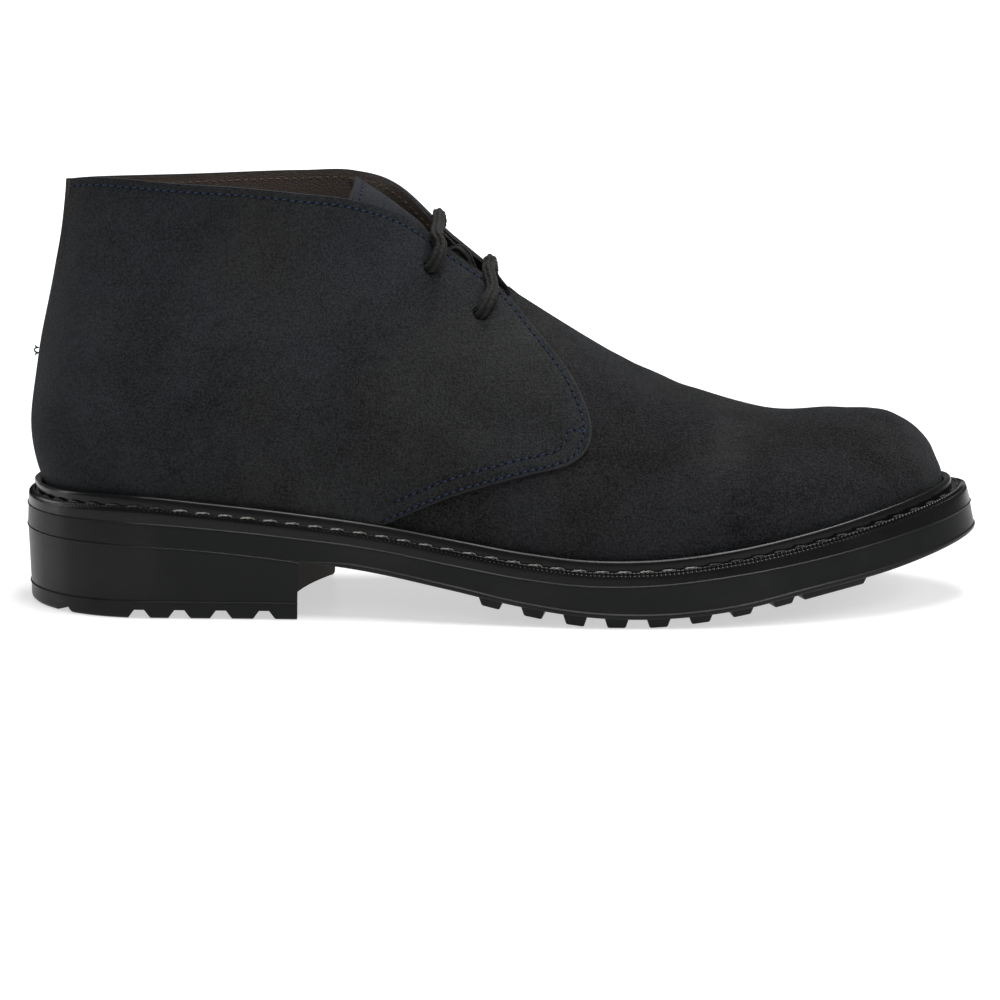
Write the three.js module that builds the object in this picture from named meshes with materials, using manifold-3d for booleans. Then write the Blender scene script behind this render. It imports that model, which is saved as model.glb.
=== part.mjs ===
// A right-foot suede chukka boot in EU size 43, empty and standing on its rubber lug sole.
// Millimetres. +X points to the toe, +Y to the inner side of the foot and +Z up. The origin is
// on the floor, under the middle of the sole.
import * as THREE from "three";
import { mergeVertices } from "three/addons/utils/BufferGeometryUtils.js";
import Module from "manifold-3d";

const wasm = await Module();
wasm.setup();

// ---------------------------------------------------------------- Driving dimensions
const SOLE_LENGTH = 303;
const TOE_ROUND = { length: 88, power: 1.7 };
const HEEL_ROUND = { length: 38, power: 2 };

const WALL = 2.2; // suede and lining together
const CLEARANCE = 0.3; // between neighbouring pieces
const INSOLE_THICKNESS = 3;
const TONGUE_THICKNESS = 2.4;

const BEAD = { width: 2.7, height: 3.2 }; // the storm welt's rib against the upper
const LEDGE_FALL = 0.8; // how far the welt's ledge slopes down to its edge
const WELT_FLANGE = 5; // how far the welt runs in under the upper

const HEEL_LIFT_THICKNESS = 5.6;
const HEEL_NOTCH_DEPTH = 2.8;
const BREAST = { lateral: 87.4, medial: 98, hollow: 8 }; // the heel's curved front face

const LACE_DIAMETER = 3.7;
const EYELET_DIAMETER = 5.4;

// How finely the forms are cut into facets.
const RIBS = 44; // from the toe to the back of the heel, on each side
const RIB_STEPS = 13; // from the sole to the top edge
const PLATE_STEPS = 36;

const LATERAL = -1;
const MEDIAL = 1;

// ---------------------------------------------------------------- Tables of sections
// The sole, by distance from its back end. swing: how far its middle line lies to the inner
// side. half: half its width, before the toe and heel are rounded. weltTop, weltBase and
// soleBase: heights above the floor. tread: the height of the lugs' faces. ledge: from the
// sole's edge in to the upper. flare: how far the sole's foot stands out past its top edge.
const SOLE = table("at swing half weltTop weltBase soleBase tread ledge flare", [
  [0, -1.2, 37.2, 35.2, 31.0, 24.3, 0.0, 6.4, 0.4],
  [30, -1.7, 37.2, 36.5, 31.3, 24.0, 0.0, 4.8, 0.3],
  [60, -2.7, 37.2, 34.1, 29.3, 22.2, 0.0, 4.2, 0.3],
  [85, -3.7, 37.2, 31.4, 26.8, 19.4, 0.0, 4.2, 0.3],
  [110, -5.2, 37.5, 28.2, 23.8, 15.9, 13.5, 4.6, 0.4],
  [135, -6.7, 40.5, 24.3, 19.6, 11.2, 8.6, 5.0, 0.5],
  [160, -5.4, 45.3, 20.2, 15.5, 6.0, 3.1, 5.6, 0.6],
  [178, -3.8, 49.3, 18.4, 13.9, 3.7, 0.3, 6.0, 0.7],
  [198, -1.4, 52.2, 18.3, 14.0, 3.0, 0.0, 6.4, 0.8],
  [225, 1.1, 53.3, 21.1, 16.8, 5.3, 3.0, 7.0, 1.2],
  [250, 2.6, 53.2, 25.3, 20.4, 10.2, 8.0, 8.0, 1.8],
  [275, 4.0, 53.6, 30.6, 25.0, 14.8, 12.9, 9.4, 2.4],
  [303, 5.2, 54.0, 37.1, 30.8, 21.6, 20.0, 10.6, 3.0],
]);

// The upper's ribs, by their share of the way round from the toe (0) to the back (1). Each
// rib rises from the sole to the ridge, the facing or the collar. topAt, topHalf, topSwing and
// topHeight place its upper end, and on the inner side it stands inner higher. lean and rise
// lead the rib out and up from the sole; reach and drop lead it out and down from its upper end.
const UPPER = table("share topAt topHalf topSwing topHeight inner lean rise reach drop", [
  [0.0, 268.0, 0.0, 4.8, 60.2, 0.0, -0.3, 10.5, 16.0, 0.0],
  [0.1, 264.0, 0.0, 4.6, 60.3, 0.0, 0.3, 11.0, 16.5, 0.0],
  [0.2, 253.0, 0.0, 4.0, 60.2, 0.0, 1.5, 15.0, 18.0, 0.0],
  [0.3, 232.0, 0.0, 3.2, 60.0, 0.0, 3.0, 19.0, 25.0, 0.0],
  [0.4, 198.0, 0.0, 2.4, 72.7, 0.0, 3.6, 26.0, 27.0, 0.3],
  [0.5, 157.0, 0.0, 1.8, 97.4, 0.0, 3.2, 38.0, 21.0, 3.2],
  [0.55, 137.0, 5.2, 1.4, 111.8, 2.6, 3.0, 41.0, 14.0, 12.0],
  [0.6, 119.0, 16.0, 0.8, 126.0, 3.8, 3.4, 42.0, 8.0, 30.0],
  [0.65, 104.0, 24.0, 0.2, 132.2, 1.4, 3.4, 40.0, 3.5, 36.0],
  [0.7, 88.0, 26.0, -0.2, 133.7, -0.3, 3.2, 38.0, 2.0, 38.0],
  [0.8, 52.0, 18.5, -1.2, 134.2, -0.6, 5.0, 32.0, 4.0, 40.0],
  [0.9, 24.0, 8.5, -1.2, 134.9, -0.4, 9.0, 26.0, 4.5, 40.0],
  [1.0, 12.6, 0.0, -1.2, 135.1, 0.0, 14.4, 22.0, 2.0, 38.0],
]);
const THROAT_SHARE = 0.5; // where the two facings meet

// The tongue, from its root under the vamp to its top edge. It is an arch in section. half:
// half the arch's width. drop: how far the arch's feet lie below its crown.
const TONGUE = table("along at height half drop swing", [
  [0, 170.0, 80.0, 13.0, 12.0, 2.0],
  [1, 154.0, 91.5, 11.0, 18.0, 1.8],
  [2, 145.0, 97.0, 8.5, 20.0, 1.6],
  [3, 138.0, 102.0, 6.6, 23.0, 1.4],
  [4, 132.4, 109.0, 6.6, 26.0, 1.0],
  [5, 127.2, 119.0, 8.6, 27.0, 0.9],
  [6, 119.0, 126.0, 12.0, 20.0, 0.8],
  [7, 112.0, 131.0, 16.0, 12.0, 0.4],
  [8, 105.3, 134.9, 19.0, 5.0, 0.2],
]);
const TONGUE_ARCH = 76; // degrees from the arch's crown down to each edge

// Each pair of eyelets: the rib it lies on and how far up that rib.
const EYELETS = {
  upper: { share: 0.567, up: 0.862 },
  lower: { share: 0.5245, up: 0.745 },
};

// ---------------------------------------------------------------- Helpers
function table(names, rows) {
  const keys = names.split(" ");
  return rows.map((row) => Object.fromEntries(keys.map((key, i) => [key, row[i]])));
}

// A smooth curve through one column of a table, against its first column.
function column(rows, name) {
  const key = Object.keys(rows[0])[0];
  const x = rows.map((row) => row[key]);
  const y = rows.map((row) => row[name]);
  const last = x.length - 1;
  const chord = (i) => (y[i + 1] - y[i]) / (x[i + 1] - x[i]);
  const slope = (i) => {
    if (i === 0) return chord(0);
    if (i === last) return chord(last - 1);
    const before = x[i] - x[i - 1];
    const after = x[i + 1] - x[i];
    return (chord(i - 1) * after + chord(i) * before) / (before + after);
  };
  return (at) => {
    const t = THREE.MathUtils.clamp(at, x[0], x[last]);
    let i = 0;
    while (i < last - 1 && t > x[i + 1]) i += 1;
    const span = x[i + 1] - x[i];
    const s = (t - x[i]) / span;
    const rise = y[i + 1] - y[i];
    const a = slope(i) * span - rise;
    const b = rise - slope(i + 1) * span;
    return y[i] + s * rise + s * (1 - s) * (a * (1 - s) + b * s);
  };
}

const columns = (rows) =>
  Object.fromEntries(Object.keys(rows[0]).map((name) => [name, column(rows, name)]));

const sole = columns(SOLE);
const upper = columns(UPPER);
const tongueForm = columns(TONGUE);

const toX = (at) => at - SOLE_LENGTH / 2;
const toAt = (x) => x + SOLE_LENGTH / 2;

function indexed(points, triangles) {
  const geometry = new THREE.BufferGeometry().setFromPoints(points);
  geometry.setIndex(triangles.flat());
  return geometry;
}

function toSolid(geometry) {
  const bare = geometry.clone();
  bare.deleteAttribute("normal");
  bare.deleteAttribute("uv");
  const merged = mergeVertices(bare, 1e-3);
  return new wasm.Manifold(
    new wasm.Mesh({
      numProp: 3,
      vertProperties: merged.getAttribute("position").array,
      triVerts: new Uint32Array(merged.index.array),
    }),
  );
}

function fromSolid(solid) {
  const { vertProperties, triVerts } = solid.getMesh();
  const geometry = new THREE.BufferGeometry();
  geometry.setAttribute("position", new THREE.BufferAttribute(vertProperties, 3));
  geometry.setIndex(new THREE.BufferAttribute(triVerts, 1));
  return geometry;
}

// An open surface given a wall on its inner side, and closed round its edges.
function thicken(points, triangles, wall) {
  const surface = indexed(points, triangles);
  surface.computeVertexNormals();
  const normals = surface.getAttribute("normal");
  const normal = new THREE.Vector3();
  const inner = points.map((point, i) =>
    point.clone().addScaledVector(normal.fromBufferAttribute(normals, i), -wall),
  );
  const count = points.length;
  const edges = new Set(triangles.flatMap(([a, b, c]) => [`${a} ${b}`, `${b} ${c}`, `${c} ${a}`]));
  const rim = [...edges]
    .map((edge) => edge.split(" ").map(Number))
    .filter(([a, b]) => !edges.has(`${b} ${a}`))
    .flatMap(([a, b]) => [
      [b, a, a + count],
      [b, a + count, b + count],
    ]);
  const lining = triangles.map(([a, b, c]) => [a + count, c + count, b + count]);
  return indexed([...points, ...inner], [...triangles, ...lining, ...rim]);
}

// ---------------------------------------------------------------- The outline of the sole
// The outline runs once round: turn 0 is the tip of the toe, 0 to 1 the outer side, 1 the back
// of the heel and -1 to 0 the inner side.
function edgePoint(turn) {
  const at = (SOLE_LENGTH / 2) * (1 + Math.cos(Math.PI * turn));
  const toe = Math.max(0, at - (SOLE_LENGTH - TOE_ROUND.length)) / TOE_ROUND.length;
  const heel = Math.max(0, HEEL_ROUND.length - at) / HEEL_ROUND.length;
  const rounding = Math.sqrt(
    Math.max(0, (1 - toe ** TOE_ROUND.power) * (1 - heel ** HEEL_ROUND.power)),
  );
  const side = Math.sin(Math.PI * turn) > 0 ? LATERAL : MEDIAL;
  return new THREE.Vector3(toX(at), sole.swing(at) + side * sole.half(at) * rounding, 0);
}

function edgeTangent(turn) {
  const step = 2e-3;
  return edgePoint(turn + step).sub(edgePoint(turn - step)).normalize();
}

function edgeOutward(turn) {
  const { x, y } = edgeTangent(turn);
  return new THREE.Vector3(-y, x, 0);
}

// The outline moved in by inset, at the height given for each distance along the sole.
function outlinePoint(turn, inset, height) {
  const edge = edgePoint(turn);
  const by = typeof inset === "function" ? inset(toAt(edge.x)) : inset;
  const point = edge.addScaledVector(edgeOutward(turn), -by);
  point.z = height(toAt(point.x));
  return point;
}

const turnAt = (at) => Math.acos((2 * at) / SOLE_LENGTH - 1) / Math.PI;

function turns(steps) {
  return Array.from({ length: 2 * steps }, (_, i) => (i <= steps ? i / steps : i / steps - 2));
}

// ---------------------------------------------------------------- Plates and strips
// A plate with the sole's outline, built up from levels, each an inset and a height.
function plate(levels, steps = PLATE_STEPS) {
  const loop = turns(steps);
  const around = loop.length;
  const points = levels.flatMap(({ inset, height }) =>
    loop.map((turn) => outlinePoint(turn, inset, height)),
  );
  const triangles = [];
  for (let level = 0; level + 1 < levels.length; level += 1) {
    for (let i = 0; i < around; i += 1) {
      const a = level * around + i;
      const b = level * around + ((i + 1) % around);
      triangles.push([a, a + around, b + around], [a, b + around, b]);
    }
  }
  const top = (levels.length - 1) * around;
  for (let i = 0; i < steps; i += 1) {
    const outer = [i, i + 1];
    const innerSide = [(around - i) % around, around - i - 1];
    if (i > 0) {
      triangles.push([top + outer[0], top + innerSide[0], top + innerSide[1]]);
      triangles.push([outer[0], innerSide[1], innerSide[0]]);
    }
    if (i + 1 < steps || i === 0) {
      triangles.push([top + outer[0], top + innerSide[1], top + outer[1]]);
      triangles.push([outer[0], outer[1], innerSide[1]]);
    }
  }
  return indexed(points, triangles);
}

// A strip swept once round the outline. section gives its corners at a turn, each as how far
// out from the upper's foot it lies and how high it is.
function strip(section, steps = PLATE_STEPS) {
  const loop = turns(steps);
  const rings = loop.map((turn) => section(turn));
  const corners = rings[0].length;
  const triangles = [];
  for (let i = 0; i < loop.length; i += 1) {
    const next = (i + 1) % loop.length;
    for (let k = 0; k < corners; k += 1) {
      const a = i * corners + k;
      const b = next * corners + k;
      const c = next * corners + ((k + 1) % corners);
      const d = i * corners + ((k + 1) % corners);
      triangles.push([a, c, d], [a, b, c]);
    }
  }
  return indexed(rings.flat(), triangles);
}

// A six-sided block from its four lower and its four upper corners, both clockwise from above.
function block(lower, higher) {
  const sides = [0, 1, 2, 3].flatMap((i) => {
    const next = (i + 1) % 4;
    return [
      [i, i + 4, next + 4],
      [i, next + 4, next],
    ];
  });
  return indexed(
    [...lower, ...higher],
    [[0, 1, 2], [0, 2, 3], [4, 6, 5], [4, 7, 6], ...sides],
  );
}

// ---------------------------------------------------------------- The upper
function rib(turn) {
  const share = Math.abs(turn);
  const side = turn >= 0 ? LATERAL : MEDIAL;
  const foot = outlinePoint(turn, sole.ledge, sole.weltTop);
  foot.z += CLEARANCE;
  const top = new THREE.Vector3(
    toX(upper.topAt(share)),
    upper.topSwing(share) + side * upper.topHalf(share),
    upper.topHeight(share) + (side === MEDIAL ? upper.inner(share) : 0),
  );
  const out = foot.clone().sub(top).setZ(0).normalize();
  const low = foot.clone().addScaledVector(edgeOutward(turn), upper.lean(share));
  low.z += upper.rise(share);
  const high = top.clone().addScaledVector(out, upper.reach(share));
  high.z -= upper.drop(share);
  return new THREE.CubicBezierCurve3(foot, low, high, top);
}

// A point on the upper and the direction out of it.
function upperPoint(turn, up) {
  const step = 1e-3;
  const here = rib(turn);
  const along = rib(turn + step).getPoint(up).sub(rib(turn - step).getPoint(up));
  return {
    point: here.getPoint(up),
    normal: here.getTangent(Math.min(up, 1 - step)).cross(along).normalize(),
  };
}

function upperShell() {
  const loop = turns(RIBS);
  const throat = Math.round(THROAT_SHARE * RIBS);
  const points = [];
  const grid = loop.map((turn, i) => {
    const curve = rib(turn);
    return Array.from({ length: RIB_STEPS + 1 }, (_, step) => {
      const mirrored = loop.length - i;
      const shared = step === RIB_STEPS && i > RIBS && mirrored <= throat;
      if (shared) return { shared: mirrored };
      points.push(curve.getPoint(step / RIB_STEPS));
      return points.length - 1;
    });
  });
  const index = (i, step) => {
    const found = grid[i % loop.length][step];
    return typeof found === "number" ? found : grid[found.shared][step];
  };
  const triangles = [];
  for (let i = 0; i < loop.length; i += 1) {
    for (let step = 0; step < RIB_STEPS; step += 1) {
      const [a, b] = [index(i, step), index(i + 1, step)];
      const [d, c] = [index(i, step + 1), index(i + 1, step + 1)];
      triangles.push([a, d, c], [a, c, b]);
    }
  }
  return thicken(points, triangles, WALL);
}

function eyeletPunch(turn, up) {
  const { point, normal } = upperPoint(turn, up);
  const punch = new THREE.CylinderGeometry(EYELET_DIAMETER / 2, EYELET_DIAMETER / 2, 6 * WALL, 16);
  const upright = new THREE.Vector3(0, 1, 0);
  punch.applyQuaternion(new THREE.Quaternion().setFromUnitVectors(upright, normal));
  punch.translate(point.x, point.y, point.z);
  return toSolid(punch);
}

function upperGeometry() {
  let solid = toSolid(upperShell());
  for (const { share, up } of Object.values(EYELETS)) {
    for (const turn of [share, -share]) solid = solid.subtract(eyeletPunch(turn, up));
  }
  return fromSolid(solid);
}

// ---------------------------------------------------------------- The tongue
function tongueGeometry() {
  const lengthSteps = 16;
  const widthSteps = 12;
  const points = [];
  const triangles = [];
  for (let i = 0; i <= lengthSteps; i += 1) {
    const along = (i / lengthSteps) * (TONGUE.length - 1);
    for (let k = 0; k <= widthSteps; k += 1) {
      const turned = THREE.MathUtils.degToRad(TONGUE_ARCH) * ((2 * k) / widthSteps - 1);
      const fall = tongueForm.drop(along) * (1 - Math.cos(turned));
      const y = tongueForm.swing(along) + tongueForm.half(along) * Math.sin(turned);
      const at = tongueForm.at(along) - 0.3 * fall;
      points.push(new THREE.Vector3(toX(at), y, tongueForm.height(along) - fall));
    }
  }
  const row = widthSteps + 1;
  for (let i = 0; i < lengthSteps; i += 1) {
    for (let k = 0; k < widthSteps; k += 1) {
      const a = i * row + k;
      triangles.push([a, a + 1, a + row + 1], [a, a + row + 1, a + row]);
    }
  }
  return thicken(points, triangles, TONGUE_THICKNESS);
}

// ---------------------------------------------------------------- The insole and the welt
function insoleGeometry() {
  const bed = (at) => sole.ledge(at) + WELT_FLANGE + CLEARANCE;
  const rim = (at) => sole.ledge(at) + WALL + 2 * CLEARANCE;
  const underside = (at) => sole.weltBase(at) + CLEARANCE;
  const step = (at) => sole.weltTop(at) + CLEARANCE;
  const face = (at) => sole.weltTop(at) + INSOLE_THICKNESS;
  return plate([
    { inset: bed, height: underside },
    { inset: bed, height: step },
    { inset: rim, height: step },
    { inset: rim, height: face },
  ]);
}

function weltGeometry() {
  return strip((turn) => {
    const at = toAt(edgePoint(turn).x);
    const share = Math.abs(turn);
    const lean = upper.lean(share) / upper.rise(share);
    const ledge = sole.ledge(at);
    const edge = ledge - sole.flare(at);
    const foot = ledge - 0.55 * sole.flare(at);
    const beadAt = (out, up) => ({ out: CLEARANCE + out + Math.max(0, lean) * up, up });
    const corners = [
      { out: -WELT_FLANGE, base: true },
      { out: -WELT_FLANGE, up: 0 },
      { out: CLEARANCE, up: 0 },
      beadAt(0, 0.7 * BEAD.height),
      beadAt(0.35 * BEAD.width, BEAD.height),
      beadAt(0.75 * BEAD.width, 0.95 * BEAD.height),
      beadAt(BEAD.width, 0.6 * BEAD.height),
      { out: CLEARANCE + BEAD.width, up: 0 },
      { out: edge, up: -LEDGE_FALL },
      { out: foot, base: true },
    ];
    return corners.map(({ out, up, base }) =>
      outlinePoint(turn, ledge - out, (where) =>
        base ? sole.weltBase(where) + CLEARANCE / 2 : sole.weltTop(where) + up,
      ),
    );
  });
}

// ---------------------------------------------------------------- The outsole
const lugFace = (at) => Math.max(0, sole.tread(at));

// A tapered lug on the sole's underside. corner(lengthwise, inward) gives a point in plan for
// each from -1 to 1, and taper is how much shorter and narrower its face is than its root.
function lug(corner, taper) {
  const ring = [
    [-1, -1],
    [-1, 1],
    [1, 1],
    [1, -1],
  ];
  const face = ring.map(([a, b]) => corner(a * taper, b * 0.96));
  const root = ring.map(([a, b]) => corner(a, b));
  for (const point of face) point.z = lugFace(toAt(point.x));
  for (const point of root) point.z = sole.soleBase(toAt(point.x)) + 1;
  const turned = face[1].clone().sub(face[0]).cross(face[2].clone().sub(face[1])).z > 0;
  return toSolid(turned ? block(face.toReversed(), root.toReversed()) : block(face, root));
}

function edgeLug(turn, length, from, to, taper = 0.66) {
  const tangent = edgeTangent(turn);
  const outward = edgeOutward(turn);
  const edge = edgePoint(turn);
  return lug((lengthwise, inward) => {
    const inset = THREE.MathUtils.lerp(from, to, (inward + 1) / 2);
    const narrowing = 1 - 0.12 * (inward + 1);
    return edge
      .clone()
      .addScaledVector(outward, -inset)
      .addScaledVector(tangent, 0.5 * length * lengthwise * narrowing);
  }, taper);
}

function diamondLug(at, y, length, width) {
  return lug((lengthwise, inward) => {
    const turned = [(lengthwise - inward) / 2, (lengthwise + inward) / 2];
    return new THREE.Vector3(toX(at) + turned[0] * length, y + turned[1] * width, 0);
  }, 0.8);
}

function outsoleGeometry() {
  const top = (at) => sole.weltBase(at) - CLEARANCE / 2;
  const base = (at) => sole.soleBase(at);
  const waistline = (at) => sole.soleBase(at) + 0.28 * (top(at) - sole.soleBase(at));
  let solid = toSolid(
    plate([
      { inset: 2.2, height: base },
      { inset: 0.5, height: (at) => base(at) + 0.7 },
      { inset: 0, height: waistline },
      { inset: (at) => 0.55 * sole.flare(at), height: top },
    ]),
  );
  const pitch = 13.4;
  const firstLug = 148;
  const bars = 8;
  for (let k = 0; k < bars; k += 1) {
    const turn = turnAt(firstLug + k * pitch);
    solid = solid.add(edgeLug(turn, 8.6, 1.8, 20));
    solid = solid.add(edgeLug(-turn, 8.6, 1.8, 20));
    const stagger = k % 2 ? 8 : -8;
    const at = firstLug + (k + 0.5) * pitch;
    solid = solid.add(diamondLug(at, sole.swing(at) + stagger, 8.5, 9));
  }
  for (const turn of [turnAt(258), -turnAt(258)]) {
    solid = solid.add(edgeLug(turn, 24, 1.8, 20, 0.86));
  }
  for (const turn of [turnAt(283), 0, -turnAt(283)]) {
    solid = solid.add(edgeLug(turn, 15, 10.5, 22, 0.86));
  }
  return fromSolid(solid);
}

// ---------------------------------------------------------------- The heel
// All that lies behind the heel's breast, which is hollowed towards the back.
function behindBreast() {
  const beyond = SOLE_LENGTH / 2;
  const outer = new THREE.Vector2(toX(BREAST.lateral), sole.swing(BREAST.lateral) - sole.half(BREAST.lateral));
  const inner = new THREE.Vector2(toX(BREAST.medial), sole.swing(BREAST.medial) + sole.half(BREAST.medial));
  const middle = outer.clone().add(inner).multiplyScalar(0.5);
  const shape = new THREE.Shape();
  shape.moveTo(-beyond - 20, -beyond);
  shape.lineTo(outer.x, -beyond);
  shape.lineTo(outer.x, outer.y);
  shape.quadraticCurveTo(middle.x - 2 * BREAST.hollow, middle.y, inner.x, inner.y);
  shape.lineTo(inner.x, beyond);
  shape.lineTo(-beyond - 20, beyond);
  shape.closePath();
  const prism = new THREE.ExtrudeGeometry(shape, { depth: 60, bevelEnabled: false, curveSegments: 10 });
  prism.translate(0, 0, -5);
  return toSolid(prism);
}

function heelBlockGeometry() {
  const foot = (at) => HEEL_LIFT_THICKNESS + CLEARANCE / 2;
  const head = (at) => sole.soleBase(at) - CLEARANCE;
  const solid = toSolid(
    plate([
      { inset: 1.0, height: foot },
      { inset: 0.3, height: head },
    ]),
  );
  return fromSolid(solid.intersect(behindBreast()));
}

// A tapered groove in the heel's tread, from its rim inwards.
function heelNotch(turn, reach) {
  const tangent = edgeTangent(turn);
  const outward = edgeOutward(turn);
  const corner = (lengthwise, inset, height) =>
    edgePoint(turn)
      .addScaledVector(outward, -inset)
      .addScaledVector(tangent, lengthwise)
      .setZ(height);
  const ring = (half, height) => [
    corner(-half, -4, height),
    corner(-half, reach, height),
    corner(half, reach, height),
    corner(half, -4, height),
  ];
  const lower = ring(3.6, -1);
  const higher = ring(1.9, HEEL_NOTCH_DEPTH);
  const turned = lower[1].clone().sub(lower[0]).cross(lower[2].clone().sub(lower[1])).z > 0;
  return toSolid(turned ? block(lower.toReversed(), higher.toReversed()) : block(lower, higher));
}

function heelLiftGeometry() {
  const solid = toSolid(
    plate([
      { inset: 2.2, height: () => 0 },
      { inset: 1.2, height: () => 0.8 },
      { inset: 1.0, height: () => HEEL_LIFT_THICKNESS - CLEARANCE / 2 },
    ]),
  );
  let lift = solid.intersect(behindBreast());
  const notches = [11.5, 38, 51, 64, 77.5];
  for (const at of notches) {
    lift = lift.subtract(heelNotch(turnAt(at), 15));
    lift = lift.subtract(heelNotch(-turnAt(at), 15));
  }
  return fromSolid(lift);
}

// ---------------------------------------------------------------- The lace
// One lace: a bar over the upper eyelets, a crossing under the facings, and a bar over the
// lower eyelets. Its ends stop inside the boot.
function laceRoute() {
  const radius = LACE_DIAMETER / 2;
  const off = (turn, up, distance) => {
    const { point, normal } = upperPoint(turn, up);
    return point.addScaledVector(normal, distance);
  };
  // A point so many millimetres up the facing from an eyelet, and so many out from it.
  const by = ({ share, up }, side, along, out) => {
    const curve = rib(share);
    const reach = curve.getPoint(up).distanceTo(curve.getPoint(1)) / (1 - up);
    return off(share * -side, up + along / reach, out);
  };
  const clear = radius + CLEARANCE;
  const threaded = (eyelet, side) => [
    by(eyelet, side, 0, -WALL - clear - 1),
    by(eyelet, side, 0, -0.5 * WALL),
    by(eyelet, side, 0.3, 1.7),
    by(eyelet, side, 2.4, clear + 1),
    by(eyelet, side, 5.5, clear + 0.4),
  ];
  const bar = (eyelet) => {
    const over = eyelet.share + 0.002;
    const [near, far] = [LATERAL, MEDIAL].map((side) => off(over * -side, 1, clear + 0.8));
    const middle = near.clone().add(far).multiplyScalar(0.5);
    middle.z += 0.6;
    return [...threaded(eyelet, LATERAL), near, middle, far, ...threaded(eyelet, MEDIAL).reverse()];
  };
  const crossing = [
    new THREE.Vector3(toX(131.5), 6.9, 108.6),
    new THREE.Vector3(toX(134.5), 4.5, 109.6),
    new THREE.Vector3(toX(138.5), 1.5, 111.4),
    new THREE.Vector3(toX(141.8), 1.8, 104.9),
    new THREE.Vector3(toX(144.2), -2.1, 98.8),
  ];
  return [...bar(EYELETS.upper), ...crossing, ...bar(EYELETS.lower)];
}

function laceGeometry() {
  const sides = 8;
  const corner = (i) => {
    const angle = (2 * Math.PI * i) / sides;
    return new THREE.Vector2(Math.cos(angle), Math.sin(angle)).multiplyScalar(LACE_DIAMETER / 2);
  };
  const section = new THREE.Shape(Array.from({ length: sides }, (_, i) => corner(i)));
  const path = new THREE.CatmullRomCurve3(laceRoute(), false, "centripetal");
  return new THREE.ExtrudeGeometry(section, { steps: 78, bevelEnabled: false, extrudePath: path });
}

// ---------------------------------------------------------------- Finishes
const finish = (color, roughness) =>
  new THREE.MeshStandardMaterial({ color, roughness, metalness: 0 });

const suede = finish(0x26282c, 0.95);
const tongueSuede = finish(0x2c2f35, 0.95);
const insoleLeather = finish(0x2e241d, 0.7);
const weltRubber = finish(0x1d1d1c, 0.5);
const soleRubber = finish(0x1b1c1c, 0.55);
const braid = finish(0x23221f, 0.85);

// ---------------------------------------------------------------- The boot
function piece(name, geometry, material) {
  const mesh = new THREE.Mesh(geometry, material);
  mesh.name = name;
  return mesh;
}

const boot = new THREE.Group();
boot.add(
  piece("upper", upperGeometry(), suede),
  piece("tongue", tongueGeometry(), tongueSuede),
  piece("insole", insoleGeometry(), insoleLeather),
  piece("welt", weltGeometry(), weltRubber),
  piece("outsole", outsoleGeometry(), soleRubber),
  piece("heel_block", heelBlockGeometry(), soleRubber),
  piece("heel_lift", heelLiftGeometry(), soleRubber),
  piece("lace", laceGeometry(), braid),
);

export default boot;
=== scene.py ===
import math

import bpy
import numpy as np
from mathutils import Matrix, Vector


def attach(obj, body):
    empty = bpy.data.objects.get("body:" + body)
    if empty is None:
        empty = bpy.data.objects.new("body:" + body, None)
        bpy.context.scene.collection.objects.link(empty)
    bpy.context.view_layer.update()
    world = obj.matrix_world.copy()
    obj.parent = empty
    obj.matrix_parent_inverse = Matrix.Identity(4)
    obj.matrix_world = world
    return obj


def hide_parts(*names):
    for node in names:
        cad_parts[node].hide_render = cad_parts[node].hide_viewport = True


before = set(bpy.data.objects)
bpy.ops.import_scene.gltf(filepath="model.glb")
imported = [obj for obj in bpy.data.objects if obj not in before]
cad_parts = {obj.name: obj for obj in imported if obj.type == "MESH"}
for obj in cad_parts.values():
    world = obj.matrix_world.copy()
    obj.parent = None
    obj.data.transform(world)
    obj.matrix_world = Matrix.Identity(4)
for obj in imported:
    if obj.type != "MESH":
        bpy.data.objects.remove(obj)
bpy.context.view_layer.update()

MM = 0.001

# ------------------------------------------------------------------ Driving dimensions
SOLE_LENGTH = 303.0
TOE_ROUND = (88.0, 1.7)  # length and power of the toe's rounding
HEEL_ROUND = (38.0, 2.0)
CLEARANCE = 0.3  # between neighbouring pieces
LATERAL, MEDIAL = -1, 1  # the outer and the inner side, along Y
SIDES = ((1, "outer"), (-1, "inner"))  # the sign of a turn on each side, and its word

WALL = 2.2  # of the whole upper
SUEDE = 1.2  # thickness of the quarters
VAMP_SUEDE = 1.3
LINING = 0.8
LINING_DEPTH = 1.34  # from the outer face in to the lining
TONGUE_SUEDE = 1.3
TONGUE_LINING = 1.0
PROUD = 1.2  # how far the quarters stand out over the vamp at their front edge
PROUD_FADE = 30.0  # and how far back that has faded away
INSOLE_THICKNESS = 3.0

BEAD = (2.7, 3.2)  # the storm welt's rib: width and height
LEDGE_FALL = 0.8  # how far the welt's ledge slopes down to its edge
WELT_FLANGE = 5.0  # how far the welt reaches in under the upper
RIB_DEPTH = 0.8  # of the fine ribs pressed into the welt's ledge by a wheel
WHEEL_PITCH = 1.4
STEPS_PER_RIB = 4
FLARE_AT_SEAM = 0.55  # share of the flare that is left where the welt meets the outsole
LIP = 0.32  # how far a layer of the sole stands out where it meets the next
HEEL_LIFT = 5.6
HEEL_HALF_WIDTH = 37.2
HEEL_NOTCH_DEPTH = 2.8
# Where the heel's front face meets each side, and how far it is hollowed between them.
BREAST_LATERAL, BREAST_MEDIAL, BREAST_HOLLOW = 87.4, 98.0, 8.0
WELT_STITCH_LINE = 0.42  # share of the ledge's width out to its stitches

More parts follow.
